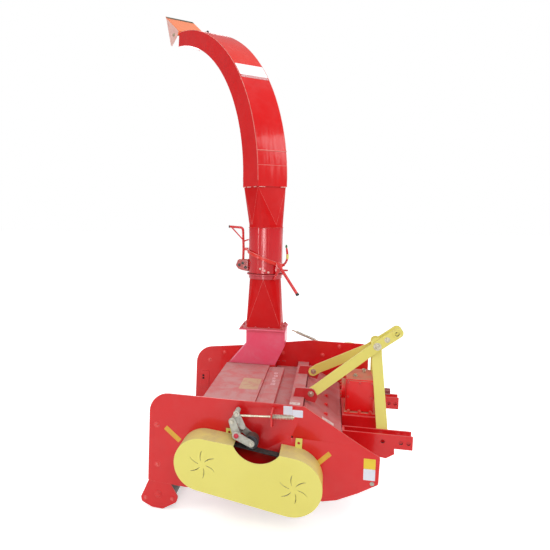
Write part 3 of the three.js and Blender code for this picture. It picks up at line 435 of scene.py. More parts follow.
def lamp(name, place, target, size, power):
    data = bpy.data.lights.new(name, "AREA")
    data.shape, data.size, data.size_y, data.energy = "RECTANGLE", size[0], size[1], power
    made = bpy.data.objects.new(name, data)
    made.location = place
    made.rotation_euler = (target - place).to_track_quat("-Z", "Y").to_euler()
    bpy.context.scene.collection.objects.link(made)


def streak(name, spot, turn, distance, height, size, power):
    """A tall lamp that only shows as a reflection, beside the line from a spot to the camera."""
    towards = camera.location - spot
    heading = atan2(towards.y, towards.x) + radians(turn)
    place = spot + Vector((cos(heading), sin(heading), 0)) * distance
    place.z = height
    lamp(name, place, spot, size, power)
    made = bpy.data.objects[name]
    made.visible_diffuse = made.visible_camera = False


make_floor()
make_world()
HEART = at(0.6, 0.1, 1.2)
lamp("lamp_front", at(2.4, -4.6, 4.2), HEART, (2.4, 2.4), 85)
lamp("lamp_side", at(-3.6, -3.0, 3.6), HEART, (1.6, 3.0), 55)
lamp("lamp_back", at(-1.5, 5.2, 4.0), HEART, (3.0, 2.4), 75)
lamp("lamp_tractor", at(5.2, 1.0, 3.6), HEART, (2.4, 2.4), 65)
lamp("lamp_top", at(0.6, 0.0, 6.6), HEART, (3.4, 3.4), 85)
streak("streak_sleeve", at(0.54, 0.385, 1.5), -14, 4.2, 1.7, (0.5, 2.4), 48)
streak("streak_wide", at(0.54, 0.385, 1.5), -48, 4.2, 2.2, (0.25, 2.4), 30)

# %% [markdown]
# ## Building meshes by hand
# Sheet-metal machines are mostly plates, bars, tubes and turned parts. Four short builders cover
# them, and each one adds a closed shell to an open bmesh, so that a piece can hold several.


# %% Finishing a mesh
def shade(mesh, angle):
    """Smooth shading, with a sharp edge wherever two faces meet at more than the angle."""
    mesh.polygons.foreach_set("use_smooth", [True] * len(mesh.polygons))
    mesh.set_sharp_from_angle(angle=radians(angle))


def piece(name, bm, material, smooth=35, closed=True):
    if closed:
        bmesh.ops.recalc_face_normals(bm, faces=bm.faces)
    mesh = bpy.data.meshes.new(name)
    bm.to_mesh(mesh)
    bm.free()
    shade(mesh, smooth)
    mesh.materials.append(material)
    made = bpy.data.objects.new(name, mesh)
    bpy.context.scene.collection.objects.link(made)
    return made


def settle(made):
    """Turns the modifiers' result into the piece's own mesh."""
    graph = bpy.context.evaluated_depsgraph_get()
    mesh = bpy.data.meshes.new_from_object(made.evaluated_get(graph))
    made.modifiers.clear()
    made.data = mesh
    return made


def ease(made, width=0.0012, segments=2, angle=35):
    """Rounds the hard edges, as a press or a grinder leaves them."""
    soft = made.modifiers.new("rounded_edges", "BEVEL")
    soft.width, soft.segments, soft.angle_limit = width, segments, radians(angle)
    soft.harden_normals = True
    return settle(made)


def drill(made, *cutters):
    for cutter in cutters:
        hole = made.modifiers.new("hole", "BOOLEAN")
        hole.operation, hole.solver, hole.object = "DIFFERENCE", "EXACT", cutter
    settle(made)
    for cutter in cutters:
        bpy.data.objects.remove(cutter)
    return made


def done(made, body, slot, *nodes):
    """Joins the piece to the body it moves with, and hides the CAD nodes it stands for."""
    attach(made, body)
    if nodes:
        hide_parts(*nodes)
    return made


# %% Plates, blocks, turned parts and tubes
PINHOLE = 0.001


def full_turn(count):
    """Even steps once round a circle, in radians."""
    return [2 * pi * i / count for i in range(count)]


def solid(profile):
    """The profile of a part with no bore: its ends run in to a pinhole on the axis."""
    return [(profile[0][0], PINHOLE), *profile, (profile[-1][0], PINHOLE)]


def across_of(axis):
    side = axis.cross(Vector((0, 0, 1)) if abs(axis.z) < 0.9 else Vector((0, 1, 0))).normalized()
    return side, axis.cross(side)


def shell(bm, rings, looped=False):
    """Skins a row of rings of points. The last ring joins the first, or both get a cap."""
    rows = [[bm.verts.new(p) for p in ring] for ring in rings]
    for lower, upper in zip(rows, rows[1:] + (rows[:1] if looped else [])):
        for i in range(len(lower)):
            j = (i + 1) % len(lower)
            bm.faces.new((lower[i], lower[j], upper[j], upper[i]))
    if not looped:
        bm.faces.new(rows[0][::-1])
        bm.faces.new(rows[-1])


def slab(bm, outline, y0, y1):
    """A plate whose outline is given in x and z."""
    shell(bm, [[at(x, y, z) for x, z in outline] for y in (y0, y1)])


def block(bm, x0, x1, y0, y1, z0, z1):
    slab(bm, [(x0, z0), (x1, z0), (x1, z1), (x0, z1)], y0, y1)


def turned(bm, centre, axis, profile, sides=32):
    """A turned part: profile is (distance along the axis, radius), from one end to the other."""
    axis = axis.normalized()
    u, v = across_of(axis)
    rings = []
    for along, radius in profile:
        rings.append([centre + axis * along + (u * cos(t) + v * sin(t)) * radius
                      for t in full_turn(sides)])
    shell(bm, rings)


def tube(bm, points, radius, sides=12):
    """A round bar along a path; radius is one value or one for each point."""
    radii = radius if isinstance(radius, (list, tuple)) else [radius] * len(points)
    rings, u = [], None
    for i, point in enumerate(points):
        along = (points[min(i + 1, len(points) - 1)] - points[max(i - 1, 0)]).normalized()
        u = across_of(along)[0] if u is None else (u - along * u.dot(along)).normalized()
        v = along.cross(u)
        rings.append([point + (u * cos(t) + v * sin(t)) * radii[i] for t in full_turn(sides)])
    shell(bm, rings)


def rounded(corners, steps=6):
    """A closed outline through corners (x, z, radius), with an arc at each rounded corner."""
    outline = []
    for i, corner in enumerate(corners):
        here = Vector(corner[:2])
        radius = corner[2] if len(corner) > 2 else 0
        before = (Vector(corners[i - 1][:2]) - here).normalized()
        after = (Vector(corners[(i + 1) % len(corners)][:2]) - here).normalized()
        if radius == 0:
            outline.append(tuple(here))
            continue
        half = acos(max(-1, min(1, before.dot(after)))) / 2
        centre = here + (before + after).normalized() * radius / sin(half)
        start = here + before * radius / tan(half) - centre
        turn = pi - 2 * half if before.x * after.y - before.y * after.x < 0 else 2 * half - pi
        for k in range(steps + 1):
            a = turn * k / steps
            outline.append((centre.x + start.x * cos(a) - start.y * sin(a),
                            centre.y + start.x * sin(a) + start.y * cos(a)))
    return outline


def round_link(a, b, ra, rb, steps=40):
    """The outline round two discs, as a belt, a belt guard or a link plate has."""
    along = atan2(b[1] - a[1], b[0] - a[0])
    lean = acos((ra - rb) / hypot(b[0] - a[0], b[1] - a[1]))
    outline = []
    for centre, radius, start, end in ((b, rb, along - lean, along + lean),
                                       (a, ra, along + lean, along + 2 * pi - lean)):
        for i in range(steps + 1):
            t = start + (end - start) * i / steps
            outline.append((centre[0] + radius * cos(t), centre[1] + radius * sin(t)))
    return outline


def cutter_y(x, z, radius, y0, y1, sides=32):
    bm = bmesh.new()
    turned(bm, at(x, y0, z), Vector((0, 1, 0)), [(0, radius), (y1 - y0, radius)], sides)
    return piece("cutter", bm, dark_gap)


# %% [markdown]
# A CAD node whose shape is already right keeps it, but its edges are razor sharp. This copies the
# node, merges its loose triangles back into flat faces, rounds the edges, and stands the copy in its
# place, because a CAD mesh itself may not be touched.


# %% Rounded copies of CAD nodes
def softened(node, material, body, slot, width=0.0012, segments=2, smooth=35, cutters=()):
    bm = bmesh.new()
    bm.from_mesh(frame["nodes"][node].data)
    bmesh.ops.remove_doubles(bm, verts=bm.verts, dist=1e-5)
    bmesh.ops.dissolve_limit(bm, angle_limit=radians(0.6), verts=bm.verts, edges=bm.edges)
    made = piece(node + "_finished", bm, material, smooth, closed=False)
    if cutters:
        drill(made, *cutters)
    return done(ease(made, width, segments), body, slot, node)


# %% [markdown]
# ## Bolts, rivets and weld beads
# These repeat by the hundred, so Geometry Nodes place them. A bolt tree puts one head on every
# point of a mesh and turns it along that point's stored direction. A weld tree walks along a line and
# drops overlapping flattened beads, which is how a real weld freezes.


# %% Building node trees for geometry
def geometry_tree(name, inputs):
    tree = bpy.data.node_groups.new(name, "GeometryNodeTree")
    tree.interface.new_socket("Geometry", in_out="INPUT", socket_type="NodeSocketGeometry")
    for label, kind, value in inputs:
        socket = tree.interface.new_socket(label, in_out="INPUT", socket_type=kind)
        if value is not None:
            socket.default_value = value
    tree.interface.new_socket("Geometry", in_out="OUTPUT", socket_type="NodeSocketGeometry")
    return tree, add(tree, "NodeGroupInput"), add(tree, "NodeGroupOutput")


def end_tree(tree, given, out, shape):
    real = add(tree, "GeometryNodeRealizeInstances", {0: shape})
    finish = add(tree, "GeometryNodeSetMaterial", {"Geometry": real.outputs[0], "Material": given.outputs["Material"]})
    tree.links.new(finish.outputs[0], out.inputs[0])


def moved(tree, shape, z):
    lift = add(tree, "ShaderNodeCombineXYZ", {"Z": z}).outputs[0]
    return add(tree, "GeometryNodeTransform", {"Geometry": shape, "Translation": lift}).outputs[0]


def run_tree(name, bm, tree, values, smooth=35):
    """Gives a mesh the tree as a modifier, sets its inputs by identifier, and keeps the result."""
    made = piece(name, bm, dark_gap, closed=False)
    modifier = made.modifiers.new("repeat", "NODES")
    modifier.node_group = tree
    for item in tree.interface.items_tree:
        if item.item_type == "SOCKET" and item.in_out == "INPUT" and item.name in values:
            modifier[item.identifier] = values[item.name]
    mesh = settle(made).data
    shade(mesh, smooth)
    if "axis" in mesh.attributes:
        mesh.attributes.remove(mesh.attributes["axis"])
    return made


# %% Bolt tree
def make_bolt_tree():
    tree, given, out = geometry_tree("bolt_on_point", [
        ("Head", FLOAT, 0.009), ("Height", FLOAT, 0.007), ("Washer", FLOAT, 0.012), ("Sides", "NodeSocketInt", 6),
        ("Material", "NodeSocketMaterial", None)])
    head, height, sides = (given.outputs[label] for label in ("Head", "Height", "Sides"))
    thick, low = 0.002, maths(tree, "MULTIPLY", height, 0.75)
    washer = add(tree, "GeometryNodeMeshCylinder", {"Vertices": 24, "Radius": given.outputs["Washer"], "Depth": thick})
    block = add(tree, "GeometryNodeMeshCylinder", {"Vertices": sides, "Radius": head, "Depth": low})
    crown = add(tree, "GeometryNodeMeshCone", {"Vertices": sides, "Radius Top": maths(tree, "MULTIPLY", head, 0.8),
                                               "Radius Bottom": head, "Depth": maths(tree, "MULTIPLY", height, 0.25)})
    thread = add(tree, "GeometryNodeMeshCylinder", {"Vertices": 12, "Radius": maths(tree, "MULTIPLY", head, 0.5),
                                                    "Depth": 0.004})
    joined = add(tree, "GeometryNodeJoinGeometry")
    for part, z in ((washer, thick / 2), (block, maths(tree, "ADD", maths(tree, "MULTIPLY", low, 0.5), thick)),
                    (crown, maths(tree, "ADD", low, thick)), (thread, maths(tree, "ADD", height, 0.003))):
        tree.links.new(moved(tree, part.outputs[0], z), joined.inputs[0])
    axis = add(tree, "GeometryNodeInputNamedAttribute", {"Name": "axis"}, data_type="FLOAT_VECTOR")
    turn = add(tree, "FunctionNodeAlignRotationToVector", {"Vector": axis.outputs[0]}, axis="Z")
    placed = add(tree, "GeometryNodeInstanceOnPoints", {"Points": given.outputs[0], "Instance": joined.outputs[0],
                                                        "Rotation": turn.outputs[0]})
    end_tree(tree, given, out, placed.outputs[0])
    return tree


BOLT_TREE = make_bolt_tree()


def facing_points(spots):
    """Bare points, each storing the direction that its copy faces."""
    bm = bmesh.new()
    layer = bm.verts.layers.float_vector.new("axis")
    for place, axis in spots:
        bm.verts.new(place)[layer] = axis
    return bm


def bolts(name, body, spots, head=0.009, height=0.007, washer=0.012, material=None, slot="plated_steel", sides=6):
    """spots is a list of (place, direction that the head faces)."""
    made = run_tree(name, facing_points(spots), BOLT_TREE, {
        "Head": head, "Height": height, "Washer": washer, "Sides": sides, "Material": material or plated_steel})
    return done(made, body, slot)


TO_RIGHT, TO_LEFT = Vector((0, -1, 0)), Vector((0, 1, 0))
TO_FRONT, TO_REAR, TO_TOP = Vector((1, 0, 0)), Vector((-1, 0, 0)), Vector((0, 0, 1))


# %% Weld tree
def make_weld_tree():
    tree, given, out = geometry_tree("weld_bead", [
        ("Size", FLOAT, 0.003), ("Material", "NodeSocketMaterial", None)])
    path = add(tree, "GeometryNodeMeshToCurve", {"Mesh": given.outputs[0]})
    pitch = maths(tree, "MULTIPLY", given.outputs["Size"], 1.3)
    even = add(tree, "GeometryNodeResampleCurve", {"Curve": path.outputs[0], "Length": pitch}, mode="LENGTH")
    bead = add(tree, "GeometryNodeMeshIcoSphere", {"Radius": given.outputs["Size"], "Subdivisions": 1})
    jitter = add(tree, "FunctionNodeRandomValue", {"Min": (0.85, 0.85, 0.7), "Max": (1.15, 1.15, 1.0), "Seed": 4},
                 data_type="FLOAT_VECTOR")
    placed = add(tree, "GeometryNodeInstanceOnPoints", {"Points": even.outputs[0], "Instance": bead.outputs[0],
                                                        "Scale": jitter.outputs[0]})
    end_tree(tree, given, out, placed.outputs[0])
    return tree


WELD_TREE = make_weld_tree()


def weld(name, body, paths, material, size=0.003, slot="red_paint"):
    """A painted-over weld bead along each path."""
    bm = bmesh.new()
    for path in paths:
        row = [bm.verts.new(p) for p in path]
        for a, b in zip(row, row[1:]):
            bm.edges.new((a, b))
    return done(run_tree(name, bm, WELD_TREE, {"Size": size, "Material": material}, smooth=80), body, slot)


# %% Spring tree
def make_spring_tree():
    tree, given, out = geometry_tree("coil_spring", [
        ("Turns", FLOAT, 14.0), ("Radius", FLOAT, 0.011), ("Length", FLOAT, 0.1), ("Wire", FLOAT, 0.0022),
        ("Material", "NodeSocketMaterial", None)])
    coil = add(tree, "GeometryNodeCurveSpiral", {"Resolution": 16, "Rotations": given.outputs["Turns"],
                                                 "Start Radius": given.outputs["Radius"],
                                                 "End Radius": given.outputs["Radius"],
                                                 "Height": given.outputs["Length"]})
    wire = add(tree, "GeometryNodeCurvePrimitiveCircle", {"Resolution": 8, "Radius": given.outputs["Wire"]})
    skin = add(tree, "GeometryNodeCurveToMesh", {"Curve": coil.outputs[0], "Profile Curve": wire.outputs[0],
                                                 "Fill Caps": True})
    end_tree(tree, given, out, skin.outputs[0])
    return tree


SPRING_TREE = make_spring_tree()


def spring(name, body, start, end, radius, wire, turns, material=None, slot="plated_steel"):
    bm = bmesh.new()
    bm.verts.new((0, 0, 0))
    length = (end - start).length
    made = run_tree(name, bm, SPRING_TREE, {"Turns": turns, "Radius": radius, "Length": length, "Wire": wire,
                                            "Material": material or plated_steel}, smooth=60)
    turn = (end - start).to_track_quat("Z", "Y").to_matrix().to_4x4()
    made.data.transform(Matrix.Translation(start) @ turn)
    return done(made, body, slot)


print("node trees:", [t.name for t in bpy.data.node_groups])

# %% [markdown]
# ## The chute
# Five pieces of folded sheet carry the crop up and over. A square-to-round piece is made of four flat
# triangles and four fans of narrow folds at its corners. Those folds catch the light, so the two
# transitions are built from real facets and not from a smooth loft. Thin pale tubes along the main
# fold lines are painted highlights of the creases.

# %% Chute directions
DISCHARGE = radians(133.5)
THROW = Vector((cos(DISCHARGE), sin(DISCHARGE), 0))
ACROSS = Vector((sin(DISCHARGE), -cos(DISCHARGE), 0))
SHEET = 0.003
SLEEVE_R = (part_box("chute_sleeve")[1].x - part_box("chute_sleeve")[0].x) / 2
SLEEVE_Z = [corner.z for corner in box_of("chute_sleeve")]
NECK_Z = box_of("neck_lower")[0].z


def chute_at(s, w, z):
    """A point s along the throw, w across it, z up."""
    return at(CHUTE.x, CHUTE.y, z) + THROW * s + ACROSS * w


def circle_at(radius, z, angle):
    return radius * cos(angle), radius * sin(angle), z


# %% Square-to-round transition
def square_to_round(name, corners, rings, place, folds=4):
    """corners are the square end; rings are (radius, z) from the round end's first row onwards."""
    bm = bmesh.new()
    square = [bm.verts.new(place(*corner)) for corner in corners]
    count = 4 * folds
    rows = [[bm.verts.new(place(*circle_at(radius, z, t))) for t in full_turn(count)] for radius, z in rings]
    for q in range(4):
        for i in range(q * folds, (q + 1) * folds):
            bm.faces.new((square[q], rows[0][i], rows[0][(i + 1) % count]))
        bm.faces.new((square[q - 1], rows[0][q * folds], square[q]))
    for low, high in zip(rows, rows[1:]):
        for i in range(count):
            j = (i + 1) % count
            bm.faces.new((low[i], high[i], high[j], low[j]))
    bmesh.ops.recalc_face_normals(bm, faces=bm.faces)
    middle = sum((v.co for v in bm.verts), Vector()) / len(bm.verts)
    face = max(bm.faces, key=lambda f: f.calc_area())
    if face.normal.dot(face.calc_center_median() - middle) < 0:
        bmesh.ops.reverse_faces(bm, faces=bm.faces)
    made = piece(name, bm, fold_red, smooth=4, closed=False)
    wall = made.modifiers.new("sheet", "SOLIDIFY")
    wall.thickness, wall.offset = SHEET, -1
    settle(made)
    # Thin pale tubes along the fold lines: painted highlights of the creases.
    crease_highlights = bmesh.new()
    for q in range(4):
        for k in (q * folds, (q + 1) * folds):
            ends = [Vector(place(*corners[q])), Vector(place(*circle_at(*rings[0], 2 * pi * k / count)))]
            tube(crease_highlights, ends, 0.0009, 6)
    lines = piece(name + "_creases", crease_highlights, crease_highlight, 60)
    return ease(made, 0.0022, 2, angle=6), lines


def quarter_corners(x0, x1, y0, y1, z):
    return [(x1, y1, z), (x0, y1, z), (x0, y0, z), (x1, y0, z)]


low, high = box_of("chute_transition")
BACK, FRONT, NECK_HALF = -0.069, 0.106, 0.1225
upper, crease_highlights = square_to_round(
    "upper_transition", quarter_corners(BACK + 0.006, FRONT - 0.006, -NECK_HALF + 0.006, NECK_HALF - 0.006, high.z),
    [(SLEEVE_R - 0.001, low.z + 0.02), (SLEEVE_R - 0.001, low.z)], chute_at)
done(upper, "chute", "red_paint", "chute_transition")
done(crease_highlights, "chute", "red_paint")

lower_box = box_of("lower_chute")
DUCT_RECT = (0.425 - CHUTE.x, 0.662 - CHUTE.x, 0.290 - CHUTE.y, 0.480 - CHUTE.y)
LOWER_R = 0.107


def from_sleeve(x, y, z):
    return at(CHUTE.x + x, CHUTE.y + y, z)


def hoop(radius, z, steps):
    """A closed line round the chute's axis, for a weld."""
    return [from_sleeve(*circle_at(radius, z, 2 * pi * i / steps)) for i in range(steps + 1)]


lower, crease_highlights = square_to_round("lower_transition", quarter_corners(*DUCT_RECT, lower_box[0].z + 0.004),
                        [(LOWER_R, 1.30), (LOWER_R, lower_box[1].z)], from_sleeve)
done(lower, "frame", "red_paint", "lower_chute")
done(crease_highlights, "frame", "red_paint")
print("transitions:", len(upper.data.polygons), len(lower.data.polygons), "faces")

# %% [markdown]
# The swivel sleeve is a rolled tube. A rolling machine leaves faint flats, and the sheet's two edges
# meet in an upright welded seam.


# %% Swivel sleeve
def make_sleeve():
    sides, bm = 96, bmesh.new()
    z0, z1 = SLEEVE_Z
    heights = [z0, z0 + 0.012, (z0 + z1) / 2, z1 - 0.012, z1]

    def wall(radius, z):
        return [from_sleeve(*circle_at(radius + 0.0007 * sin(9 * t) - 0.0008, z, t))
                for t in full_turn(sides)]

    outside = [wall(SLEEVE_R, z) for z in heights]
    inside = [wall(SLEEVE_R - SHEET, z) for z in reversed(heights)]
    shell(bm, outside + inside, looped=True)
    return piece("swivel_sleeve", bm, sleeve_red, smooth=40)


done(make_sleeve(), "chute", "red_paint", "chute_sleeve")
SEAM = radians(-112)
weld("sleeve_seam", "chute", [[from_sleeve(*circle_at(SLEEVE_R - 0.001, z, SEAM)) for z in SLEEVE_Z],
                              [from_sleeve(*circle_at(SLEEVE_R - 0.001, z, SEAM + radians(38))) for z in SLEEVE_Z]],
     chute_red, 0.0016)
weld("sleeve_top_weld", "chute", [hoop(SLEEVE_R, SLEEVE_Z[1], 48)], chute_red, 0.0022)
print("sleeve radius", round(SLEEVE_R, 4))

# %% [markdown]
# The neck is a box section that curves over and tapers towards its mouth. Its two side sheets are
# flame-cut to the curve, and the back and belly sheets are bent over them and welded along all four
# corners. A second back sheet laps over the first, a little above the joint with the transition.

# %% Neck
NECK_S, NECK_CZ, NECK_R = 1.187, 1.966, 1.256
NECK_SWEEP, NECK_DEEP, NECK_SHALLOW = radians(84), 0.175, 0.106


def neck_at(turn, depth_share, w, proud=0.0, drop=0.0):
    """turn 0 to 1 along the neck; depth_share 0 on the back sheet and 1 on the belly sheet."""
    angle = NECK_SWEEP * turn
    depth = NECK_DEEP + (NECK_SHALLOW - NECK_DEEP) * turn
    radius = NECK_R + proud - depth * depth_share
    return chute_at(NECK_S - radius * cos(angle), w, NECK_CZ + radius * sin(angle) - drop)


def make_neck(steps=84):
    bm = bmesh.new()
    turns = [(0, NECK_CZ - NECK_Z)] + [(i / steps, 0) for i in range(steps + 1)]

    def ring(turn, drop, inset):
        half = NECK_HALF - inset
        cut = inset / (NECK_DEEP + (NECK_SHALLOW - NECK_DEEP) * turn)
        return [neck_at(turn, cut, -half, 0, drop), neck_at(turn, cut, half, 0, drop),
                neck_at(turn, 1 - cut, half, 0, drop), neck_at(turn, 1 - cut, -half, 0, drop)]

    outside = [ring(turn, drop, 0) for turn, drop in turns]
    inside = [ring(turn, drop, SHEET) for turn, drop in reversed(turns)]
    shell(bm, outside + inside, looped=True)
    return ease(piece("neck", bm, chute_red, smooth=30), 0.0035, 3, angle=50)


done(make_neck(), "chute", "red_paint", "neck_lower", "neck_middle", "neck_upper")


def neck_line(share, w, steps=60):
    return [neck_at(i / steps, share, w) for i in range(steps + 1)]


LAP = 0.108


def back_sheet(name, first, last, lift, material, half, under=-0.001):
    """A sheet on the neck's back, lifted a little off the one below it."""
    bm, steps = bmesh.new(), max(4, round(70 * (last - first)))
    rings = []
    for i in range(steps + 1):
        turn = first + (last - first) * i / steps
        rings.append([neck_at(turn, 0, -half, under), neck_at(turn, 0, half, under), neck_at(turn, 0, half, lift),
                      neck_at(turn, 0, -half, lift)])
    shell(bm, rings)
    return done(ease(piece(name, bm, material, smooth=30), min(0.0008, (lift - under) * 0.3), 2, angle=50), "chute",
                "red_paint")


BAND = (0.419, 0.481)
back_sheet("back_sheet_low", LAP, BAND[0], 0.002, chute_red, NECK_HALF - 0.004)
# The upper back sheet takes the lighter red: painted light, where the sheet turns to face up.
back_sheet("back_sheet_high", BAND[0], 0.985, 0.002, lit_orange_red, NECK_HALF - 0.004)
# A flat white band lies across the back sheet, with a strip of scuffed paint at its lower edge.
back_sheet("blank_band", BAND[0] + 0.001, BAND[1], 0.0028, band_white, NECK_HALF - 0.006, 0.0012)
back_sheet("band_scuff", BAND[0] - 0.012, BAND[0] + 0.0005, 0.0026, scuffed, NECK_HALF - 0.010, 0.0012)
edge = NECK_HALF - 0.001
# The pale welds along the corner, the lap and the seam are painted highlights.
weld("neck_corner_welds", "chute", [neck_line(0.004, edge), neck_line(0.004, -edge)], highlight_pale, 0.0024)
weld("neck_belly_welds", "chute", [neck_line(0.996, edge), neck_line(0.996, -edge)], chute_red, 0.0026)
weld("lap_weld", "chute", [[neck_at(LAP, 0, w, 0.0005) for w in (-edge, edge)]], highlight_pale, 0.0046)
weld("seam_weld", "chute", [[neck_at(0.055, 0, w, -0.0005) for w in (-edge, edge)]], highlight_pale, 0.0018)
# Pale stitches at the joint with the transition: their pale colour is a painted highlight of the welds.
joint = [[chute_at(BACK - 0.0015, w, NECK_Z - 0.0015) for w in (a, b)] for a,
         b in ((-0.108, -0.086), (-0.074, -0.066), (0.072, 0.108))]
joint += [[chute_at(s, -NECK_HALF - 0.001, NECK_Z - 0.0015) for s in (a, b)] for a,
          b in ((-0.05, -0.028), (0.012, 0.05), (0.075, 0.098))]
weld("joint_stitches", "chute", joint, pale_cheek_and_glint, 0.0036)

# %% [markdown]
# ## Side plates
# Two 8 mm plates, flame-cut and ground along their edges, carry every shaft and cross member. The CAD
# outline is right, so each plate is a copy with rounded edges. The small things on it are added:
# painted bolts, a drilled hole, the weld that joins the roller bracket, and blank labels.


# %% Thin labels and painted bolts
def label(name, outline, y, material, thick=0.0007):
    """A blank label stuck on a face that looks along y; outline is in x and z."""
    bm = bmesh.new()
    slab(bm, outline, y - thick, y + thick)
    return done(ease(piece(name, bm, material), 0.0004, 1), "frame", None)


def oblong(x0, x1, z0, z1, radius=0.003):
    """An oblong outline with rounded corners."""
    return rounded([(x0, z0, radius), (x1, z0, radius), (x1, z1, radius), (x0, z1, radius)], 4)


right_face, left_face, inner_face = -OUTER, OUTER, HALF_INNER
hanger_hole = cutter_y(0.806, 0.557, 0.0062, right_face - 0.01, right_face + 0.02)
softened("side_plate_right", red_paint, "frame", "red_paint", 0.0016, cutters=[hanger_hole])
softened("side_plate_left", red_paint, "frame", "red_paint", 0.0016)

# %% Painted bolts of the plates
RED_BOLTS = [(0.043, 0.550), (0.045, 0.313)]
spots = [(at(x, right_face, z), TO_RIGHT) for x, z in RED_BOLTS]
spots += [(at(x, left_face, z), TO_LEFT) for x, z in (*RED_BOLTS, (0.62, 0.70), (0.93, 0.74), (1.19, 0.62))]
# The bolt heads' lighter red is a painted highlight.
bolts("plate_bolts", "frame", spots, 0.0115, 0.009, 0.0165, bolt_highlight_red, "red_paint")
seen_inside = [(0.23, 0.714), (0.117, 0.648), (0.395, 0.742), (0.663, 0.739), (0.944, 0.739), (1.058, 0.809),
               (1.2, 0.79)]
bolts("inner_bolts", "frame", [(at(x, inner_face, z), TO_RIGHT) for x, z in seen_inside], 0.0105, 0.009, 0.015,
      bolt_highlight_red, "red_paint")
bolts("front_plate_bolt", "frame", [(at(1.222, right_face, 0.345), TO_RIGHT), (at(1.222, left_face, 0.345), TO_LEFT)],
      0.0075, 0.006, 0.011, grey_casting, "grey_casting")

# %% Inspection panel inside the left plate
bm = bmesh.new()
slab(bm, rounded([(0.043, 0.43, 0.008), (0.108, 0.435, 0.008), (0.113, 0.562, 0.008), (0.049, 0.557, 0.008)]),
     inner_face - 0.005, inner_face + 0.0002)
done(ease(piece("left_panel", bm, red_paint), 0.001), "frame", "red_paint")
bolts("left_panel_bolts", "frame", [(at(0.066, inner_face - 0.005, z), TO_RIGHT) for z in (0.503, 0.524)], 0.005, 0.005,
      0.0075, dark_gap, "black_paint")

# %% Blank labels
label("label_white_square", oblong(0.757, 0.804, 0.678, 0.727), right_face, label_white)
label("label_white_low", oblong(0.8045, 0.860, 0.669, 0.709), right_face, label_white)
label("label_yellow_front", oblong(1.177, 1.236, 0.424, 0.480), right_face, label_yellow)
label("label_white_front", oblong(1.177, 1.236, 0.362, 0.4235), right_face, label_white)
strips = {"strip_rear": [(0.104, 0.551), (0.189, 0.479), (0.171, 0.457), (0.086, 0.529)],
          "strip_front": [(0.937, 0.437), (0.997, 0.497), (1.014, 0.477), (0.955, 0.417)]}
for name, corners in strips.items():
    label(name, rounded([(x, z, 0.003) for x, z in corners], 4), right_face, label_orange)
print("labels:", len(strips) + 4)

# %% [markdown]
# The roller hangs in two brackets that are welded under the plates. A flanged hub with a nut holds each
# end of the roller's axle, and two small bolts clamp the scraper behind it.

# %% Roller brackets
for side, name, face in ((-1, "roller_bracket_right", TO_RIGHT), (1, "roller_bracket_left", TO_LEFT)):
    softened(name, red_paint, "frame", "red_paint", 0.0014)
    y = side * (HALF_INNER - 0.0003)
    bm = bmesh.new()
    hub = [(-0.002, 0.021), (0.002, 0.0215), (0.0035, 0.02), (0.0035, 0.014), (0.0055, 0.0135), (0.006, 0.009),
           (0.0045, 0.008), (0.0045, PINHOLE)]
    turned(bm, on_shaft(ROLLER, y), face, hub, 36)
    done(piece(name + "_hub", bm, red_paint, 30), "frame", "red_paint")
    bolts(name + "_bolts", "frame", [(at(-0.033, y, 0.095), face), (at(0.129, y, 0.107), face)], 0.0085, 0.006, 0.0125,
          bolt_highlight_red, "red_paint")
    seat = side * (HALF_INNER + 0.002)
    weld(name + "_weld", "frame", [[at(-0.004, seat, 0.2065), at(0.03, seat, 0.2045)],
                                   [at(0.058, seat, 0.203), at(0.118, seat, 0.2)]], red_paint, 0.003)
print("roller axle at", tuple(round(v, 3) for v in ROLLER))

# %% [markdown]
# The ground roller is a rolled tube with closed ends. Soil and grass polish it and leave it rough and
# dark between, so it is turned with a faint waviness instead of a perfect cylinder.

# %% Ground roller
bm = bmesh.new()
radius, half = radius_of("ground_roller"), 0.488
profile = [(-0.509, 0.002), (-0.509, 0.0165), (-half + 0.004, 0.017), (-half + 0.004, radius - 0.012),
           (-half, radius - 0.009), (-half, radius - 0.003), (-half + 0.003, radius)]
for i in range(1, 40):
    profile.append((-half + 0.003 + (2 * half - 0.006) * i / 40, radius - 0.0006 + 0.0006 * cos(i * 1.7)))
profile += [(-a, r) for a, r in reversed(profile[:7])]
turned(bm, on_shaft(ROLLER, 0), TO_LEFT, profile, 72)
done(piece("ground_roller_tube", bm, roller_black, 40), "roller", "black_paint", "ground_roller")
print("roller radius", round(radius, 3))

# %% [markdown]
# ## Top sheets
# The cover over the auger, the two channel beams and the sloping hood lie flat and are walked on, so
# they are thick with dust, scuffed by boots and brushed clean in places. They keep their CAD shape
# with rounded folds. Bolts, a seam, blank labels and scuff marks are added on top.

# %% Top sheets
for node in ("rear_cover", "channel_beam_rear", "channel_beam_front", "deck_sheet", "front_hood"):
    softened(node, hood_red if node == "front_hood" else dusty_red, "frame", "dusty_red_paint", 0.0022, 3)


def flat_label(name, x0, x1, y0, y1, z, material, thick=0.0006):
    """A blank label or mark that lies on a level sheet."""
    bm = bmesh.new()
    shell(bm, [[at(x, y, z + rise) for x, y in oblong(x0, x1, y0, y1, 0.004)] for rise in (-thick, thick)])
    return done(ease(piece(name, bm, material), 0.0003, 1), "frame", None)


COVER_TOP, BEAM_TOP = box_of("rear_cover")[1].z, box_of("channel_beam_rear")[1].z
flat_label("faded_label", 0.458, 0.573, -0.198, 0.012, COVER_TOP, faded_label)
flat_label("beam_label", 0.777, 0.836, -0.366, -0.328, BEAM_TOP, label_dusty)
for i in range(5):
    low = -0.055 + 0.055 * i
    flat_label(f"scuff_{i}", 0.634 + 0.004 * (i % 2), 0.664 - 0.005 * (i % 3), low, low + 0.04, BEAM_TOP, scuffed,
               0.0004)

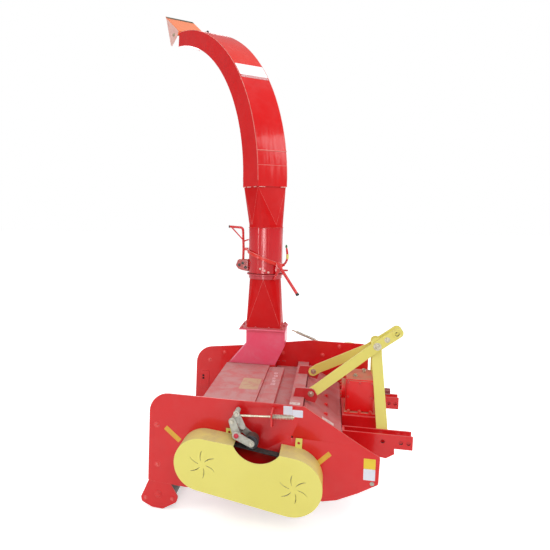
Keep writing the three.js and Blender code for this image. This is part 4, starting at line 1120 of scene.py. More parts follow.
# %% Ledge between cover and beam
beam_rear, cover_box = box_of("channel_beam_rear"), box_of("rear_cover")
bm = bmesh.new()
block(bm, cover_box[1].x + 0.0008, beam_rear[0].x - 0.0003, cover_box[0].y, cover_box[1].y, BEAM_TOP - 0.006,
      BEAM_TOP - 0.002)
done(ease(piece("cover_ledge", bm, dusty_red), 0.001), "frame", "dusty_red_paint")
print("cover top", round(COVER_TOP, 3), "beam top", round(BEAM_TOP, 3))

# %% [markdown]
# A row of bolts across the hood holds the counter-knife that the flails pass. Rain runs down from
# each head and leaves it clean and darker than the dusty sheet.

# %% Hood bolts and edge strip
HOOD_TOP, HOOD_FOOT = Vector((0.858, 0.658)), Vector((1.049, 0.548))
slope = (HOOD_FOOT - HOOD_TOP).normalized()
HOOD_UP = Vector((-slope.y, 0, slope.x))


def on_hood(x, y, proud=0.0):
    share = (x - HOOD_TOP.x) / (HOOD_FOOT.x - HOOD_TOP.x)
    return at(x, y, HOOD_TOP.y + (HOOD_FOOT.y - HOOD_TOP.y) * share) + HOOD_UP * proud


knife_bolts = [(on_hood(0.977, -0.39 + 0.155 * i), HOOD_UP) for i in range(6)]
bolts("knife_bolts", "frame", knife_bolts, 0.0105, 0.009, 0.014, red_paint, "red_paint")


def on_slope(name, corners, material, thick=0.0006):
    bm = bmesh.new()
    shell(bm, [[on_hood(x, y, rise) for x, y in corners] for rise in (-thick, thick)])
    return done(piece(name, bm, material), "frame", None)


on_slope("hood_strip", [(0.958, -0.335), (1.022, -0.335), (1.022, -0.300), (0.958, -0.300)], label_dusty)
fold = [on_hood(0.868, y, 0.001) for y in (-0.505, 0.505)]
weld("hood_weld", "frame", [fold], dusty_red, 0.0022, "dusty_red_paint")
print("knife bolts:", len(knife_bolts))

# %% [markdown]
# Beams and plates are stitch-welded: short beads with gaps between, because a long weld would pull
# the thin plate out of true. The seam along the left plate is where the crop dust collects.

# %% Stitch welds
stitches = []
for x0, x1, z in ((0.612, 0.684, BEAM_TOP - 0.004), (0.782, 0.846, BEAM_TOP - 0.004)):
    for side in (-1, 1):
        y = side * (HALF_INNER - 0.0015)
        stitches += [[at(x0, y, z), at(x0 + 0.026, y, z)], [at(x1 - 0.026, y, z), at(x1, y, z)]]
weld("beam_stitches", "frame", stitches, dusty_red, 0.0026, "dusty_red_paint")
softened("auger_trough", red_paint, "frame", "red_paint", 0.0008)
print("stitch welds:", len(stitches))

# %% [markdown]
# ## Belt guards
# A guard is a flat face with a strip welded round it, and a notch where the tensioner comes through.
# Each end has a pinwheel of pressed louvres that let dust and heat out. The guard starts as a closed
# cup, and the notch and the louvres are cut out of it, as they are from the real sheet.


# %% Belt guard
LOUVRES = 6


def swirl(centre, turn, inner=0.021, outer=0.076, bend=-0.3, steps=10):
    """The curved line of one louvre."""
    line = []
    for i in range(steps + 1):
        radius = inner + (outer - inner) * i / steps
        angle = turn + bend * (i / steps) ** 1.4
        line.append(Vector((centre[0] + radius * cos(angle), centre[1] + radius * sin(angle))))
    return line


def louvre_outline(line, half):
    along = [(line[min(i + 1, len(line) - 1)] - line[max(i - 1, 0)]).normalized() for i in range(len(line))]
    swell = [half * (0.35 + 0.65 * sin(pi * i / (len(line) - 1))) for i in range(len(line))]
    left = [p + Vector((-d.y, d.x)) * h for p, d, h in zip(line, along, swell)]
    right = [p - Vector((-d.y, d.x)) * h for p, d, h in zip(line, along, swell)]
    return [tuple(p) for p in left + right[::-1]]


def belt_guard(name, node, a, b, ra, rb, side, opening, swirls):
    back, face = side * (OUTER + 0.0004), side * (GUARD_Y - 0.0012)
    inner = face - side * 0.003
    outside = [Vector(p) for p in round_link(a, b, ra, rb, 36)]
    inside = [Vector(p) for p in round_link(a, b, ra - 0.003, rb - 0.003, 36)]
    bm = bmesh.new()
    shell(bm, [[at(p.x, y, p.y) for p in row] for row, y in
               ((outside, face), (outside, back), (inside, back), (inside, inner))])
    made = piece(name, bm, yellow_paint)
    low, high = sorted((side * 0.5, side * (GUARD_Y + 0.01)))
    cutters = [cutter_y(*opening, low, high, 64)]
    slots = bmesh.new()
    for centre, start in swirls:
        for k in range(LOUVRES):
            slab(slots, louvre_outline(swirl(centre, start + 2 * pi * k / LOUVRES), 0.0019),
                 *sorted((inner - side * 0.004, face + side * 0.004)))
    cutters.append(piece("louvre_cutter", slots, dark_gap))
    drill(made, *cutters)
    done(ease(made, 0.0009, 2, angle=50), "frame", "yellow_paint", node)
    lips = bmesh.new()
    for centre, start in swirls:
        for k in range(LOUVRES):
            line = swirl(centre, start + 2 * pi * k / LOUVRES)
            shifted = [Vector((p.x + 0.0022 * sin(start), p.y - 0.0026)) for p in line]
            radii = [0.0004 + 0.0008 * sin(pi * i / (len(line) - 1)) for i in range(len(line))]
            tube(lips, [at(p.x, face - side * 0.0001, p.y) for p in shifted], radii, 8)
    done(piece(name + "_lips", lips, yellow_paint, 60), "frame", "yellow_paint")


LOBES_RIGHT = ((0.333, 0.411), (0.812, 0.345), 0.147, 0.160)
NOTCH_RIGHT = (0.639, 0.595, 0.140)
belt_guard("right_guard", "belt_guard_right", *LOBES_RIGHT, -1, NOTCH_RIGHT,
           [((0.344, 0.416), radians(109)), ((0.827, 0.339), radians(113))])
left_lobes = ((ROTOR.x, ROTOR.z), (CROSS.x, CROSS.z), 0.125, 0.130)
belt_guard("left_guard", "belt_guard_left", *left_lobes, 1, (0.844, 0.628, 0.095),
           [((ROTOR.x, ROTOR.z), radians(71)), ((CROSS.x, CROSS.z), radians(67))])
print("guard face at", round(GUARD_Y, 3))

# %% [markdown]
# The guard is held by folded tabs. Each tab is an ear bent up from the strip, with a hole for its
# bolt, and it stands a little off the plate.


# %% Guard tabs
def tab(name, corners, hole, y, side):
    bm = bmesh.new()
    slab(bm, rounded([(x, z, 0.004) for x, z in corners]), *sorted((y, y + side * 0.003)))
    made = drill(piece(name, bm, yellow_paint), cutter_y(hole[0], hole[1], 0.0075,
                                                         *sorted((y - side * 0.01, y + side * 0.01)), 24))
    return done(ease(made, 0.0006), "frame", "yellow_paint")


tab("guard_tab_front", [(0.820, 0.470), (0.826, 0.556), (0.861, 0.556), (0.857, 0.470)], (0.842, 0.529),
    -OUTER - 0.004, -1)
tab("guard_tab_rear", [(0.448, 0.500), (0.446, 0.574), (0.484, 0.574), (0.486, 0.500)], (0.465, 0.552), -OUTER - 0.004,
    -1)
tab("left_tab_low", [(0.71, 0.40), (0.69, 0.46), (0.73, 0.47), (0.75, 0.41)], (0.708, 0.445), OUTER + 0.001, 1)
tab("left_tab_high", [(1.12, 0.79), (1.115, 0.83), (1.16, 0.83), (1.165, 0.79)], (1.138, 0.822), OUTER + 0.001, 1)

# %% [markdown]
# ## Belts and pulleys
# A banded belt is several V-belts under one cover. Its section is drawn once and carried round the
# two pulleys. The pulleys are cast wheels, turned in the V grooves and left rough between the spokes.


# %% Banded belt
def belt(name, node, a, b, ra, rb, side, ribs=4):
    half, thick = 0.024, 0.0105
    pitch = 2 * half / ribs
    section = [(thick, -half)]
    for i in range(1, ribs):
        section += [(thick, -half + i * pitch - 0.0016), (thick - 0.0012, -half + i * pitch),
                    (thick, -half + i * pitch + 0.0016)]
    section += [(thick, half), (0.0075, half)]
    for i in reversed(range(ribs)):
        mid = -half + (i + 0.5) * pitch
        section += [(0.0032, mid + pitch * 0.26), (0.0032, mid - pitch * 0.26), (0.0075, mid - pitch * 0.5)]
    path = round_link(a, b, ra, rb, 48)
    bm, count = bmesh.new(), len(path)
    rings = []
    for i, (x, z) in enumerate(path):
        before, after = Vector(path[i - 1]), Vector(path[(i + 1) % count])
        run = (after - before).normalized()
        out = Vector((run.y, -run.x))
        rings.append([at(x + out.x * lift, side * (BELT_Y + across), z + out.y * lift) for lift, across in section])
    shell(bm, rings, looped=True)
    done(piece(name, bm, belt_rubber, 30), "frame", "belt_rubber", node)


belt("banded_belt_right", "drive_belt_right", (AUGER.x, AUGER.z), (ROTOR.x, ROTOR.z), radius_of("auger_pulley"),
     radius_of("rotor_pulley_right"), -1)
belt("banded_belt_left", "drive_belt_left", (ROTOR.x, ROTOR.z), (CROSS.x, CROSS.z), radius_of("rotor_pulley_left"),
     radius_of("cross_shaft"), 1)


# %% Cast pulley
def cast_pulley(name, node, body, centre, side, holes=5, grooves=4):
    half, radius = 0.026, radius_of(node)
    face = [(half, PINHOLE), (half, 0.044), (half - 0.003, 0.047), (0.008, 0.05), (0.008, radius - 0.026),
            (half - 0.002, radius - 0.02), (half, radius - 0.017), (half, radius - 0.001)]
    rim = []
    for i in range(grooves):
        middle = half - (i + 0.5) * (2 * half / grooves)
        rim += [(middle + 0.0058, radius), (middle + 0.0034, radius - 0.009), (middle - 0.0034, radius - 0.009),
                (middle - 0.0058, radius)]
    profile = face + rim + [(-d, r) for d, r in reversed(face)]
    bm = bmesh.new()
    turned(bm, on_shaft(centre, side * BELT_Y), TO_LEFT, profile, 64)
    made = piece(name, bm, grey_casting, 30)
    cutters = []
    for k in range(holes):
        turn, reach = 2 * pi * k / holes + 0.3, (0.05 + radius - 0.026) / 2
        cutters.append(cutter_y(centre.x + reach * cos(turn), centre.z + reach * sin(turn),
                                (radius - 0.076) * 0.36, side * BELT_Y - 0.03, side * BELT_Y + 0.03, 24))
    if holes:
        drill(made, *cutters)
    return done(ease(made, 0.0008, 2, 45), body, "grey_casting", node)


cast_pulley("pulley_rotor_right", "rotor_pulley_right", "rotor", ROTOR, -1, 0)
cast_pulley("pulley_rotor_left", "rotor_pulley_left", "rotor", ROTOR, 1, 0)
cast_pulley("pulley_auger", "auger_pulley", "auger", AUGER, -1)
cast_pulley("pulley_cross", "cross_shaft", "cross_drive", CROSS, 1)
bm = bmesh.new()
turned(bm, on_shaft(CROSS, 0.106), TO_LEFT, [(0, 0.002), (0, 0.019), (0.001, 0.02), (0.51, 0.02), (0.5117, 0.019),
                                                  (0.5117, 0.002)], 32)
done(piece("cross_drive_shaft", bm, worn_steel, 30), "cross_drive", "grey_casting")

# %% [markdown]
# ## Belt tensioners
# A cast arm pivots on the plate and carries a smooth idler that presses on the back of the belt. A
# rod pulls the arm's head, and a coil spring at the rod's far end keeps the pull even as the belt
# stretches. The arm is made from flat link plates, bosses and pins, like the real one.


# %% Idler wheel
def idler(name, node, body, centre, side):
    radius, half = radius_of(node), 0.0276
    edge = [(half, 0.010), (half, 0.0165), (half - 0.004, 0.018), (half - 0.006, radius - 0.009),
            (half - 0.001, radius - 0.006),
            (half, radius - 0.003), (half - 0.0012, radius - 0.0008)]
    profile = solid(edge + [(0, radius)] + [(-d, r) for d, r in reversed(edge)])
    bm = bmesh.new()
    turned(bm, on_shaft(centre, side * BELT_Y), TO_LEFT, profile, 56)
    done(piece(name, bm, idler_black, 30), body, "black_paint", node)
    bm = bmesh.new()
    face = TO_LEFT * side
    turned(bm, on_shaft(centre, side * BELT_Y) + face * (half - 0.0062), face,
           [(0, radius - 0.0165), (0.0008, radius - 0.0165), (0.0008, radius - 0.0125), (0, radius - 0.0125)], 48)
    done(piece(name + "_seal", bm, grey_casting, 30), body, "grey_casting")


idler("idler_right_wheel", "idler_pulley_right", "idler_right", IDLER_RIGHT, -1)
idler("idler_left_wheel", "idler_pulley_left", "idler_left", IDLER_LEFT, 1)


# %% Tensioner arm
def link_plate(bm, a, b, ra, rb, y0, y1):
    slab(bm, round_link(a, b, ra, rb, 18), *sorted((y0, y1)))


def arm_set(name, node, head, knee, pivot, bend, tail, wheel, side):
    """Two outer links meet at the pivot, and a cranked arm runs from the head round behind the wheel."""
    mid = [side * (BELT_Y + d) for d in (0.0248, 0.0295)]
    y = [side * (BELT_Y + d) for d in (0.030, 0.0385, 0.040, 0.048)]
    inner = side * (BELT_Y - 0.0345)
    bm = bmesh.new()
    link_plate(bm, knee, pivot, 0.0195, 0.0225, y[0], y[1])
    link_plate(bm, pivot, wheel, 0.0222, 0.0195, y[2], y[3])
    done(ease(piece(name + "_plates", bm, grey_casting, 40), 0.0016, 2), "frame", "grey_casting", node)
    bm = bmesh.new()
    back = (tail[0] - 0.012, tail[1] - 0.036)
    link_plate(bm, back, wheel, 0.0185, 0.0195, inner, inner - side * 0.008)
    tube(bm, [at(tail[0], mid[0], tail[1]), at(back[0], inner, back[1])], 0.0125, 16)
    link_plate(bm, head, bend, 0.0165, 0.0192, mid[0], mid[1])
    link_plate(bm, bend, tail, 0.0190, 0.0165, mid[0] + side * 0.0002, mid[1] + side * 0.0002)
    done(ease(piece(name + "_crank", bm, dark_casting, 40), 0.0016, 2), "frame", "grey_casting")
    bm = bmesh.new()
    reach = BELT_Y + 0.03 - OUTER
    turned(bm, at(pivot[0], side * (OUTER + 0.0004), pivot[1]), TO_LEFT * side,
           solid([(0, 0.024), (0.006, 0.024), (0.010, 0.018), (reach, 0.017)]), 32)
    turned(bm, at(wheel[0], side * (BELT_Y - 0.044), wheel[1]), TO_LEFT * side,
           solid([(0, 0.0085), (0.001, 0.0094), (0.095, 0.0094), (0.096, 0.0085)]), 24)
    turned(bm, at(head[0], inner, head[1]), TO_LEFT * side,
           solid([(0, 0.0135), (0.038, 0.0135), (0.04, 0.0095), (0.066, 0.0095)]), 28)
    turned(bm, at(knee[0], inner - side * 0.004, knee[1]), TO_LEFT * side,
           solid([(0, 0.012), (0.066, 0.012)]), 24)
    done(piece(name + "_pins", bm, grey_casting, 35), "frame", "grey_casting")
    cap = bmesh.new()
    turned(cap, at(pivot[0], y[3], pivot[1]), TO_LEFT * side,
           [(-0.001, PINHOLE), (-0.001, 0.0135), (0.003, 0.0135), (0.0055, 0.011), (0.0068, 0.006),
            (0.007, 0.0005)], 28)
    done(piece(name + "_cap", cap, red_plastic, 50), "frame", None)
    face = TO_LEFT * side
    bolts(name + "_bolts", "frame", [(at(wheel[0], y[3], wheel[1]), face), (at(knee[0], y[1], knee[1]), face)],
          0.0085, 0.006, 0.0125, spring_steel, "plated_steel")
    bolts(name + "_eye_bolt", "frame", [(at(head[0], inner + side * 0.064, head[1]), face)], 0.0095, 0.006, 0.0155,
          spring_steel, "plated_steel")


HEAD_RIGHT, KNEE_RIGHT, PIVOT_RIGHT, BEND_RIGHT = (0.517, 0.692), (0.496, 0.650), (0.520, 0.577), (0.534, 0.653)
arm_set("tensioner_right", "tensioner_arm_right", HEAD_RIGHT, KNEE_RIGHT, PIVOT_RIGHT, BEND_RIGHT, (0.550, 0.624),
        (IDLER_RIGHT.x, IDLER_RIGHT.z), -1)
HEAD_LEFT = (0.985, 0.790)
arm_set("tensioner_left", "tensioner_arm_left", HEAD_LEFT, (0.962, 0.772), (0.930, 0.720), (0.950, 0.775),
        (0.905, 0.740),
        (IDLER_LEFT.x, IDLER_LEFT.z), 1)

# %% [markdown]
# The rod is plated bright steel. Its eye sits on the arm's head pin, and behind the bracket a spring is
# squeezed between a washer and a pair of nuts.


# %% Tension rods and springs
def tension_rod(name, node, head, tail, side, squeeze):
    """squeeze is the share of the rod's length where the spring starts and ends."""
    y = side * (BELT_Y + 0.016)
    start, end = at(head[0], y, head[1]), at(tail[0], y, tail[1])
    run = (end - start).normalized()
    length = (end - start).length
    first, last = start + run * length * squeeze[0], start + run * length * squeeze[1]
    bm = bmesh.new()
    turned(bm, start, run, solid([(0.010, 0.0055), (0.03, 0.0055), (0.031, 0.0062), (0.075, 0.0062), (0.076, 0.0052),
                                  (length - 0.004, 0.0052), (length, 0.004)]), 20)
    turned(bm, start - TO_LEFT * 0.0095, TO_LEFT, [(0, 0.0098), (0, 0.0145), (0.002, 0.0162), (0.017, 0.0162),
                                                   (0.019, 0.0145),
                                                  (0.019, 0.0098)], 28)
    for place in (first, last):
        turned(bm, place, run, [(-0.0012, 0.0054), (-0.0012, 0.0128), (0.0012, 0.0128), (0.0012, 0.0054)], 24)
    turned(bm, last, run, [(0.0013, 0.0053), (0.0013, 0.0088), (0.0075, 0.0088), (0.0075, 0.0053)], 6)
    done(piece(name, bm, plated_steel, 30), "frame", "plated_steel", node)
    gap = 0.0014
    spring(name + "_spring", "frame", first + run * gap, last - run * gap, 0.0108, 0.0020,
           round((last - first).length / 0.0077), spring_steel)


tension_rod("tension_rod_right_bright", "tension_rod_right", (HEAD_RIGHT[0] + 0.002, HEAD_RIGHT[1] - 0.014),
            (0.820, 0.695), -1,
            (0.624, 0.965))
tension_rod("tension_rod_left_bright", "tension_rod_left", HEAD_LEFT, (0.720, 0.891), 1, (0.39, 0.86))

# %% [markdown]
# ## Mast and struts
# The top link's mast is flame-cut flat bar, 60 mm wide, bent where the struts splay out to the deck.
# The ends are ground round and every joint is one plated bolt with a washer.


# %% Flat bars
def flat_bar(bm, path, width, thick, round_start=True):
    """A bent flat bar along a path, with its broad face to the side."""
    runs = [(b - a).normalized() for a, b in zip(path, path[1:])]
    stations = []
    for i, point in enumerate(path):
        run = (runs[max(i - 1, 0)] + runs[min(i, len(runs) - 1)]).normalized()
        stations.append((point, run, width / 2))
    cap = [(width / 2 * (1 - cos(pi / 2 * k / 7)), max(width / 2 * sin(pi / 2 * k / 7), 0.0012)) for k in range(7)]
    if round_start:
        stations[0:1] = [(path[0] + runs[0] * along, runs[0], half) for along, half in cap]
    stations[-1:] = [(path[-1] - runs[-1] * along, runs[-1], half) for along, half in reversed(cap)]
    rings = []
    for point, run, half in stations:
        up = Vector((0, -1, 0)).cross(run).normalized()
        out = run.cross(up) * thick / 2
        rings.append([point - up * half - out, point + up * half - out, point + up * half + out,
                      point - up * half + out])
    shell(bm, rings)


MAST, LUG_PIN, TOP_LINK, SPARE = (1.265, 0.960), (0.890, 0.704), (1.372, 1.042), (1.319, 1.004)
LEAD = (TOP_LINK[1] - MAST[1]) / (TOP_LINK[0] - MAST[0])
STRUT_LOW, STRUT_TOP, BAR_LOW, BAR_TOP = 0.2145, 0.0375, 0.262, 0.027
BAR_WIDE, BAR_THICK, TOP_BORE = 0.060, 0.010, 0.0125


def mast_pair(side, word):
    def lead(x):
        return at(x, side * STRUT_TOP, MAST[1] + (x - MAST[0]) * LEAD)

    bm = bmesh.new()
    flat_bar(bm, [at(LUG_PIN[0] - 0.026, side * STRUT_LOW, LUG_PIN[1] - 0.018), at(0.920, side * STRUT_LOW, 0.726),
                  lead(MAST[0] - 0.040), lead(TOP_LINK[0] + 0.030)], BAR_WIDE, BAR_THICK)
    strut = drill(piece("strut_" + word, bm, yellow_paint), cutter_y(*TOP_LINK, TOP_BORE, -0.3, 0.3))
    done(ease(strut, 0.001), "frame", "yellow_paint", "mast_strut_" + word)
    bm = bmesh.new()
    face = TO_LEFT * side
    turned(bm, at(TOP_LINK[0], side * (STRUT_TOP + 0.004), TOP_LINK[1]), face,
           solid([(0, 0.024), (0.005, 0.024), (0.0062, 0.0228)]), 32)
    pad = drill(piece("top_link_pad_" + word, bm, yellow_paint), cutter_y(*TOP_LINK, TOP_BORE, -0.3, 0.3))
    done(pad, "frame", "yellow_paint")
    bm = bmesh.new()
    flat_bar(bm, [at(MAST[0] + 0.023, side * BAR_LOW, 0.478), at(MAST[0] + 0.020, side * BAR_LOW, 0.560),
                  at(MAST[0], side * BAR_TOP, MAST[1] - 0.060), at(MAST[0] - 0.008, side * BAR_TOP, MAST[1] + 0.050)],
             BAR_WIDE, BAR_THICK, round_start=False)
    done(ease(piece("upright_" + word, bm, yellow_paint), 0.001), "frame", "yellow_paint", "mast_bar_" + word)
    bolts("lug_bolts_" + word, "frame", [
        (at(LUG_PIN[0], side * (STRUT_LOW - 0.005), LUG_PIN[1]), -face),
        (at(LUG_PIN[0], side * 0.232, LUG_PIN[1]), face)], 0.0115, 0.009, 0.0175)
    bolts("mast_bolts_" + word, "frame", [(at(MAST[0], side * (STRUT_TOP + 0.005), MAST[1]), face)], 0.015, 0.0115,
          0.0235)
    bolts("spare_bolts_" + word, "frame", [(at(SPARE[0], side * (STRUT_TOP + 0.005), SPARE[1]), face)], 0.0105, 0.009,
          0.0165)


mast_pair(-1, "right")
mast_pair(1, "left")


def cross_bolt(name, node, spot, radius, sleeve):
    bm = bmesh.new()
    half = STRUT_TOP + 0.0045
    turned(bm, at(spot[0], -half, spot[1]), TO_LEFT, solid([(0, radius), (2 * half, radius)]), 24)
    if sleeve:
        turned(bm, at(spot[0], -0.0215, spot[1]), TO_LEFT, [(0, 0.0125), (0, 0.017), (0.043, 0.017), (0.043, 0.0125)],
               24)
    done(piece(name, bm, plated_steel), "frame", "plated_steel", node)


cross_bolt("mast_cross_bolt", "mast_bolt", MAST, 0.0115, True)
cross_bolt("spare_cross_bolt", "top_link_bolt", SPARE, 0.0095, False)
print("mast bolt at", MAST)

# %% [markdown]
# ## Gearbox and input shaft
# The gearbox is one casting with a flange under it. Its side is closed by a cover with a ring of
# bolts, its front by the housing of the input shaft, and an oil plug and a breather sit on top.

# %% Gearbox
X0, X1, TOP, FOOT, FACE = 1.090, 1.250, 0.772, 0.566, 0.110
softened("gearbox", gear_red, "frame", "red_paint", 0.004, 3)
softened("gearbox_base", red_paint, "frame", "red_paint", 0.0015, 2)
bm = bmesh.new()
cover_line = rounded([(X0 + 0.006, FOOT + 0.014, 0.012), (X0 + 0.006, TOP - 0.008, 0.014),
                      (X1 - 0.006, TOP - 0.008, 0.014),
                      (X1 - 0.006, FOOT + 0.014, 0.012)])
slab(bm, cover_line, -FACE - 0.007, -FACE + 0.001)
block(bm, X0 - 0.008, X1 + 0.008, -FACE - 0.028, FACE + 0.028, FOOT - 0.0001, FOOT + 0.011)
done(ease(piece("gearbox_cover", bm, gear_red), 0.0018, 2), "frame", "red_paint")
cover_bolts = [(at(x, -FACE - 0.007, z), TO_RIGHT) for x in (X0 + 0.014, X1 - 0.014) for z in (FOOT + 0.1, TOP - 0.018)]
cover_bolts += [(at(1.170, -FACE - 0.007, TOP - 0.018), TO_RIGHT)]
bolts("gearbox_cover_bolts", "frame", cover_bolts, 0.006, 0.005, 0.0075, red_paint, "red_paint")
foot_bolts = [(at(x, side * (FACE + 0.016), FOOT + 0.011), TO_TOP) for x in (X0 + 0.018, 1.170,
                                                                             X1 - 0.018) for side in (-1, 1)]
bolts("gearbox_foot_bolts", "frame", foot_bolts, 0.010, 0.009, 0.013, gear_red, "red_paint")
ring = [(at(X1 + 0.018, 0.045 * cos(t), CROSS.z + 0.045 * sin(t)), TO_FRONT) for t in full_turn(6)]
ring += [(at(X0 - 0.022, 0.051 * cos(t), CROSS.z + 0.051 * sin(t)), TO_REAR) for t in full_turn(6)]
bolts("gearbox_ring_bolts", "frame", ring, 0.0065, 0.005, 0.008, gear_red, "red_paint")
bm = bmesh.new()
turned(bm, at(1.145, -0.045, TOP - 0.001), TO_TOP, solid([(0, 0.015), (0.005, 0.015), (0.005, 0.011), (0.013, 0.011),
                                                          (0.015, 0.009)]), 6)
turned(bm, at(1.200, 0.05, TOP - 0.001), TO_TOP, solid([(0, 0.009), (0.012, 0.009), (0.012, 0.012), (0.019, 0.012),
                                                        (0.022, 0.007)]), 16)
done(piece("oil_plug_and_breather", bm, plated_steel), "frame", "plated_steel")


# %% Input shaft
def spline_outline(x, low, high, teeth=6, steps=4):
    ring = []
    for i in range(teeth * steps * 2):
        turn = 2 * pi * i / (teeth * steps * 2)
        radius = high if (i // steps) % 2 else low
        ring.append(at(x, radius * cos(turn), CROSS.z + radius * sin(turn)))
    return ring


bm = bmesh.new()
shell(bm, [spline_outline(x, low, high) for x, low, high in (
    (1.227, 0.0195, 0.0195), (1.276, 0.0195, 0.0195), (1.278, 0.0168, 0.0206), (1.315, 0.0168,
                                                                                0.0206), (1.3155, 0.0165, 0.0176),
    (1.3225, 0.0165, 0.0176), (1.323, 0.0168, 0.0206), (1.349, 0.0168, 0.0206), (1.352, 0.015, 0.0172))])
done(piece("splined_input_shaft", bm, shaft_red, 30), "input", None, "input_shaft")
bm = bmesh.new()
turned(bm, at(X1 + 0.0185, 0, CROSS.z), TO_FRONT, [(0, 0.0215), (0, 0.030), (0.004, 0.030), (0.005, 0.028),
                                                   (0.005, 0.0215)], 32)
done(piece("shaft_seal", bm, shaft_red), "frame", None)
print("gearbox bolts:", len(cover_bolts) + len(foot_bolts) + len(ring))

# %% [markdown]
# ## Hitch arms and front tube
# Each lower-link arm is a pair of plates on the front tube, welded all along its foot, with three pin
# holes. The parking stand hangs under the tube on a pin with a ring clip.

# %% Hitch arms, front tube and stand
for word in ("right", "left"):
    softened("hitch_arm_" + word, red_paint, "frame", "red_paint", 0.0014, 2)
softened("front_tube", red_paint, "frame", "red_paint", 0.002, 2)
softened("parking_stand", red_paint, "stand", "red_paint", 0.0016, 2)
tube_top = box_of("front_tube")[1].z
feet = []
for side in (-1, 1):
    for y in (0.2745 - 0.0055, 0.2745 + 0.0055, 0.3405 - 0.0055, 0.3405 + 0.0055):
        feet.append([at(x, side * y, tube_top + 0.0006) for x in (1.072, 1.148)])
weld("arm_welds", "frame", feet, red_paint, 0.0028)
pin = middle_of("parking_stand")
STAND_Z = 0.298
bm = bmesh.new()
for x, along in ((pin.x + 0.032, 1), (pin.x - 0.032, -1)):
    turned(bm, at(x, 0, STAND_Z), TO_FRONT * along, solid([(0, 0.014), (0.0035, 0.014), (0.0045, 0.0125)]), 24)
tube(bm, [at(pin.x + 0.040, 0.004 + 0.017 * sin(2 * pi * i / 24),
             STAND_Z - 0.015 + 0.017 * cos(2 * pi * i / 24)) for i in range(24)], 0.0016, 8)
done(piece("stand_pin_and_clip", bm, plated_steel, 45), "frame", "plated_steel")
print("stand hangs at z", STAND_Z)

# %% [markdown]
# A thin dark ring lines each pin hole: painted shade inside the bore, which reads at a distance where
# a bore in the plate's own colour would vanish into the plate.


# %% Bores with painted shade
BORE_SIDES = 24


def shade_ring(bm, x, z, y0, y1, outer, thick=0.0007):
    rings = []
    for turn in full_turn(BORE_SIDES):
        rings.append([at(x + r * cos(turn), y, z + r * sin(turn))
                      for r, y in ((outer - thick, y0), (outer, y0), (outer, y1), (outer - thick, y1))])
    shell(bm, rings, looped=True)


bm = bmesh.new()
for side in (-1, 1):
    for x in (1.285, 1.379, 1.418):
        for y in (0.275, 0.340):
            shade_ring(bm, x, 0.507, side * y - 0.0047, side * y + 0.0047, 0.0106)
    ends = sorted((side * (STRUT_TOP - 0.0047), side * (STRUT_TOP + 0.0097)))
    shade_ring(bm, *TOP_LINK, *ends, 0.0126)
print("greased bores:", len(bm.verts) // (4 * BORE_SIDES))
done(piece("bore_grease", bm, dark_gap, 40), "frame", None)

# %% [markdown]
# ## Working parts inside
# These show from below and through the mouth. The rotor's drum carries pairs of lugs, and a forged
# flail swings on a bolt between each pair. The auger is a strip bent into a helix and welded to a
# tube, and the blower wheel has bolted paddles. The flails are placed by nodes, one on each point.


# %% Copies of one shape on many points
def make_copy_tree():
    tree, given, out = geometry_tree("shape_on_point", [
        ("Shape", "NodeSocketObject", None), ("Material", "NodeSocketMaterial", None)])
    shape = add(tree, "GeometryNodeObjectInfo", {"Object": given.outputs["Shape"]})
    axis = add(tree, "GeometryNodeInputNamedAttribute", {"Name": "axis"}, data_type="FLOAT_VECTOR")
    turn = add(tree, "FunctionNodeAxesToRotation", {"Primary Axis": axis.outputs[0], "Secondary Axis": (0, 1, 0)},
               primary_axis="Z", secondary_axis="Y")
    placed = add(tree, "GeometryNodeInstanceOnPoints", {"Points": given.outputs[0],
                                                        "Instance": shape.outputs["Geometry"],
                                                        "Rotation": turn.outputs[0]})
    end_tree(tree, given, out, placed.outputs[0])
    return tree


COPY_TREE = make_copy_tree()


def copies(name, body, shape, spots, material, slot):
    made = run_tree(name, facing_points(spots), COPY_TREE, {"Shape": shape, "Material": material})
    return done(made, body, slot)


def local_piece(name, bm, material):
    return ease(piece(name, bm, material), 0.001)


def local_plate(bm, outline, y0, y1):
    """A plate about the local origin, with its outline in x and z."""
    shell(bm, [[Vector((x, y, z)) for x, z in outline] for y in (y0, y1)])


# %% Flail rotor
DRUM_R, REACH = 0.105, radius_of("flail_rotor")
bm = bmesh.new()
turned(bm, on_shaft(ROTOR, -0.495), TO_LEFT, [(0, 0.028), (0, DRUM_R - 0.002), (0.002, DRUM_R), (0.988, DRUM_R),
                                                   (0.99, DRUM_R - 0.002),
                                                   (0.99, 0.028)], 64)
turned(bm, on_shaft(ROTOR, -0.6175), TO_LEFT, solid([(0, 0.0195), (0.002, 0.0215), (0.10, 0.022), (0.12, 0.0245),
                                                     (1.115, 0.0245), (1.135, 0.022), (1.233, 0.0215),
                                                     (1.235, 0.0195)]), 32)
done(piece("rotor_drum", bm, worn_steel, 30), "rotor", "worn_steel", "flail_rotor")
flail_y = []
for row in range(4):
    turn = row / 4 * 2 * pi + pi / 8
    out = Vector((cos(turn), 0, sin(turn)))
    for i in range(6):
        y = -0.470 + (i * 2 + 1 + row % 2) * (0.940 / 13)
        flail_y.append((on_shaft(ROTOR, y) + out * (DRUM_R - 0.002), out))
bm = bmesh.new()
for y in (-0.030, 0.022):
    local_plate(bm, rounded([(-0.021, 0, 0), (-0.014, 0.040, 0.013), (0.014, 0.040, 0.013), (0.021, 0, 0)]), y,
                y + 0.008)
lug = local_piece("lug_shape", bm, worn_steel)
bm = bmesh.new()
knife = rounded([(-0.010, 0.018, 0.008), (-0.016, 0.078, 0.004), (-0.034, 0.110, 0.003), (-0.030, 0.118, 0.002),
                 (0.012, 0.118, 0.004),
                 (0.016, 0.070, 0.006), (0.010, 0.018, 0.008)])
local_plate(bm, knife, -0.020, 0.020)
flail = local_piece("flail_shape", bm, bare_iron)
bm = bmesh.new()
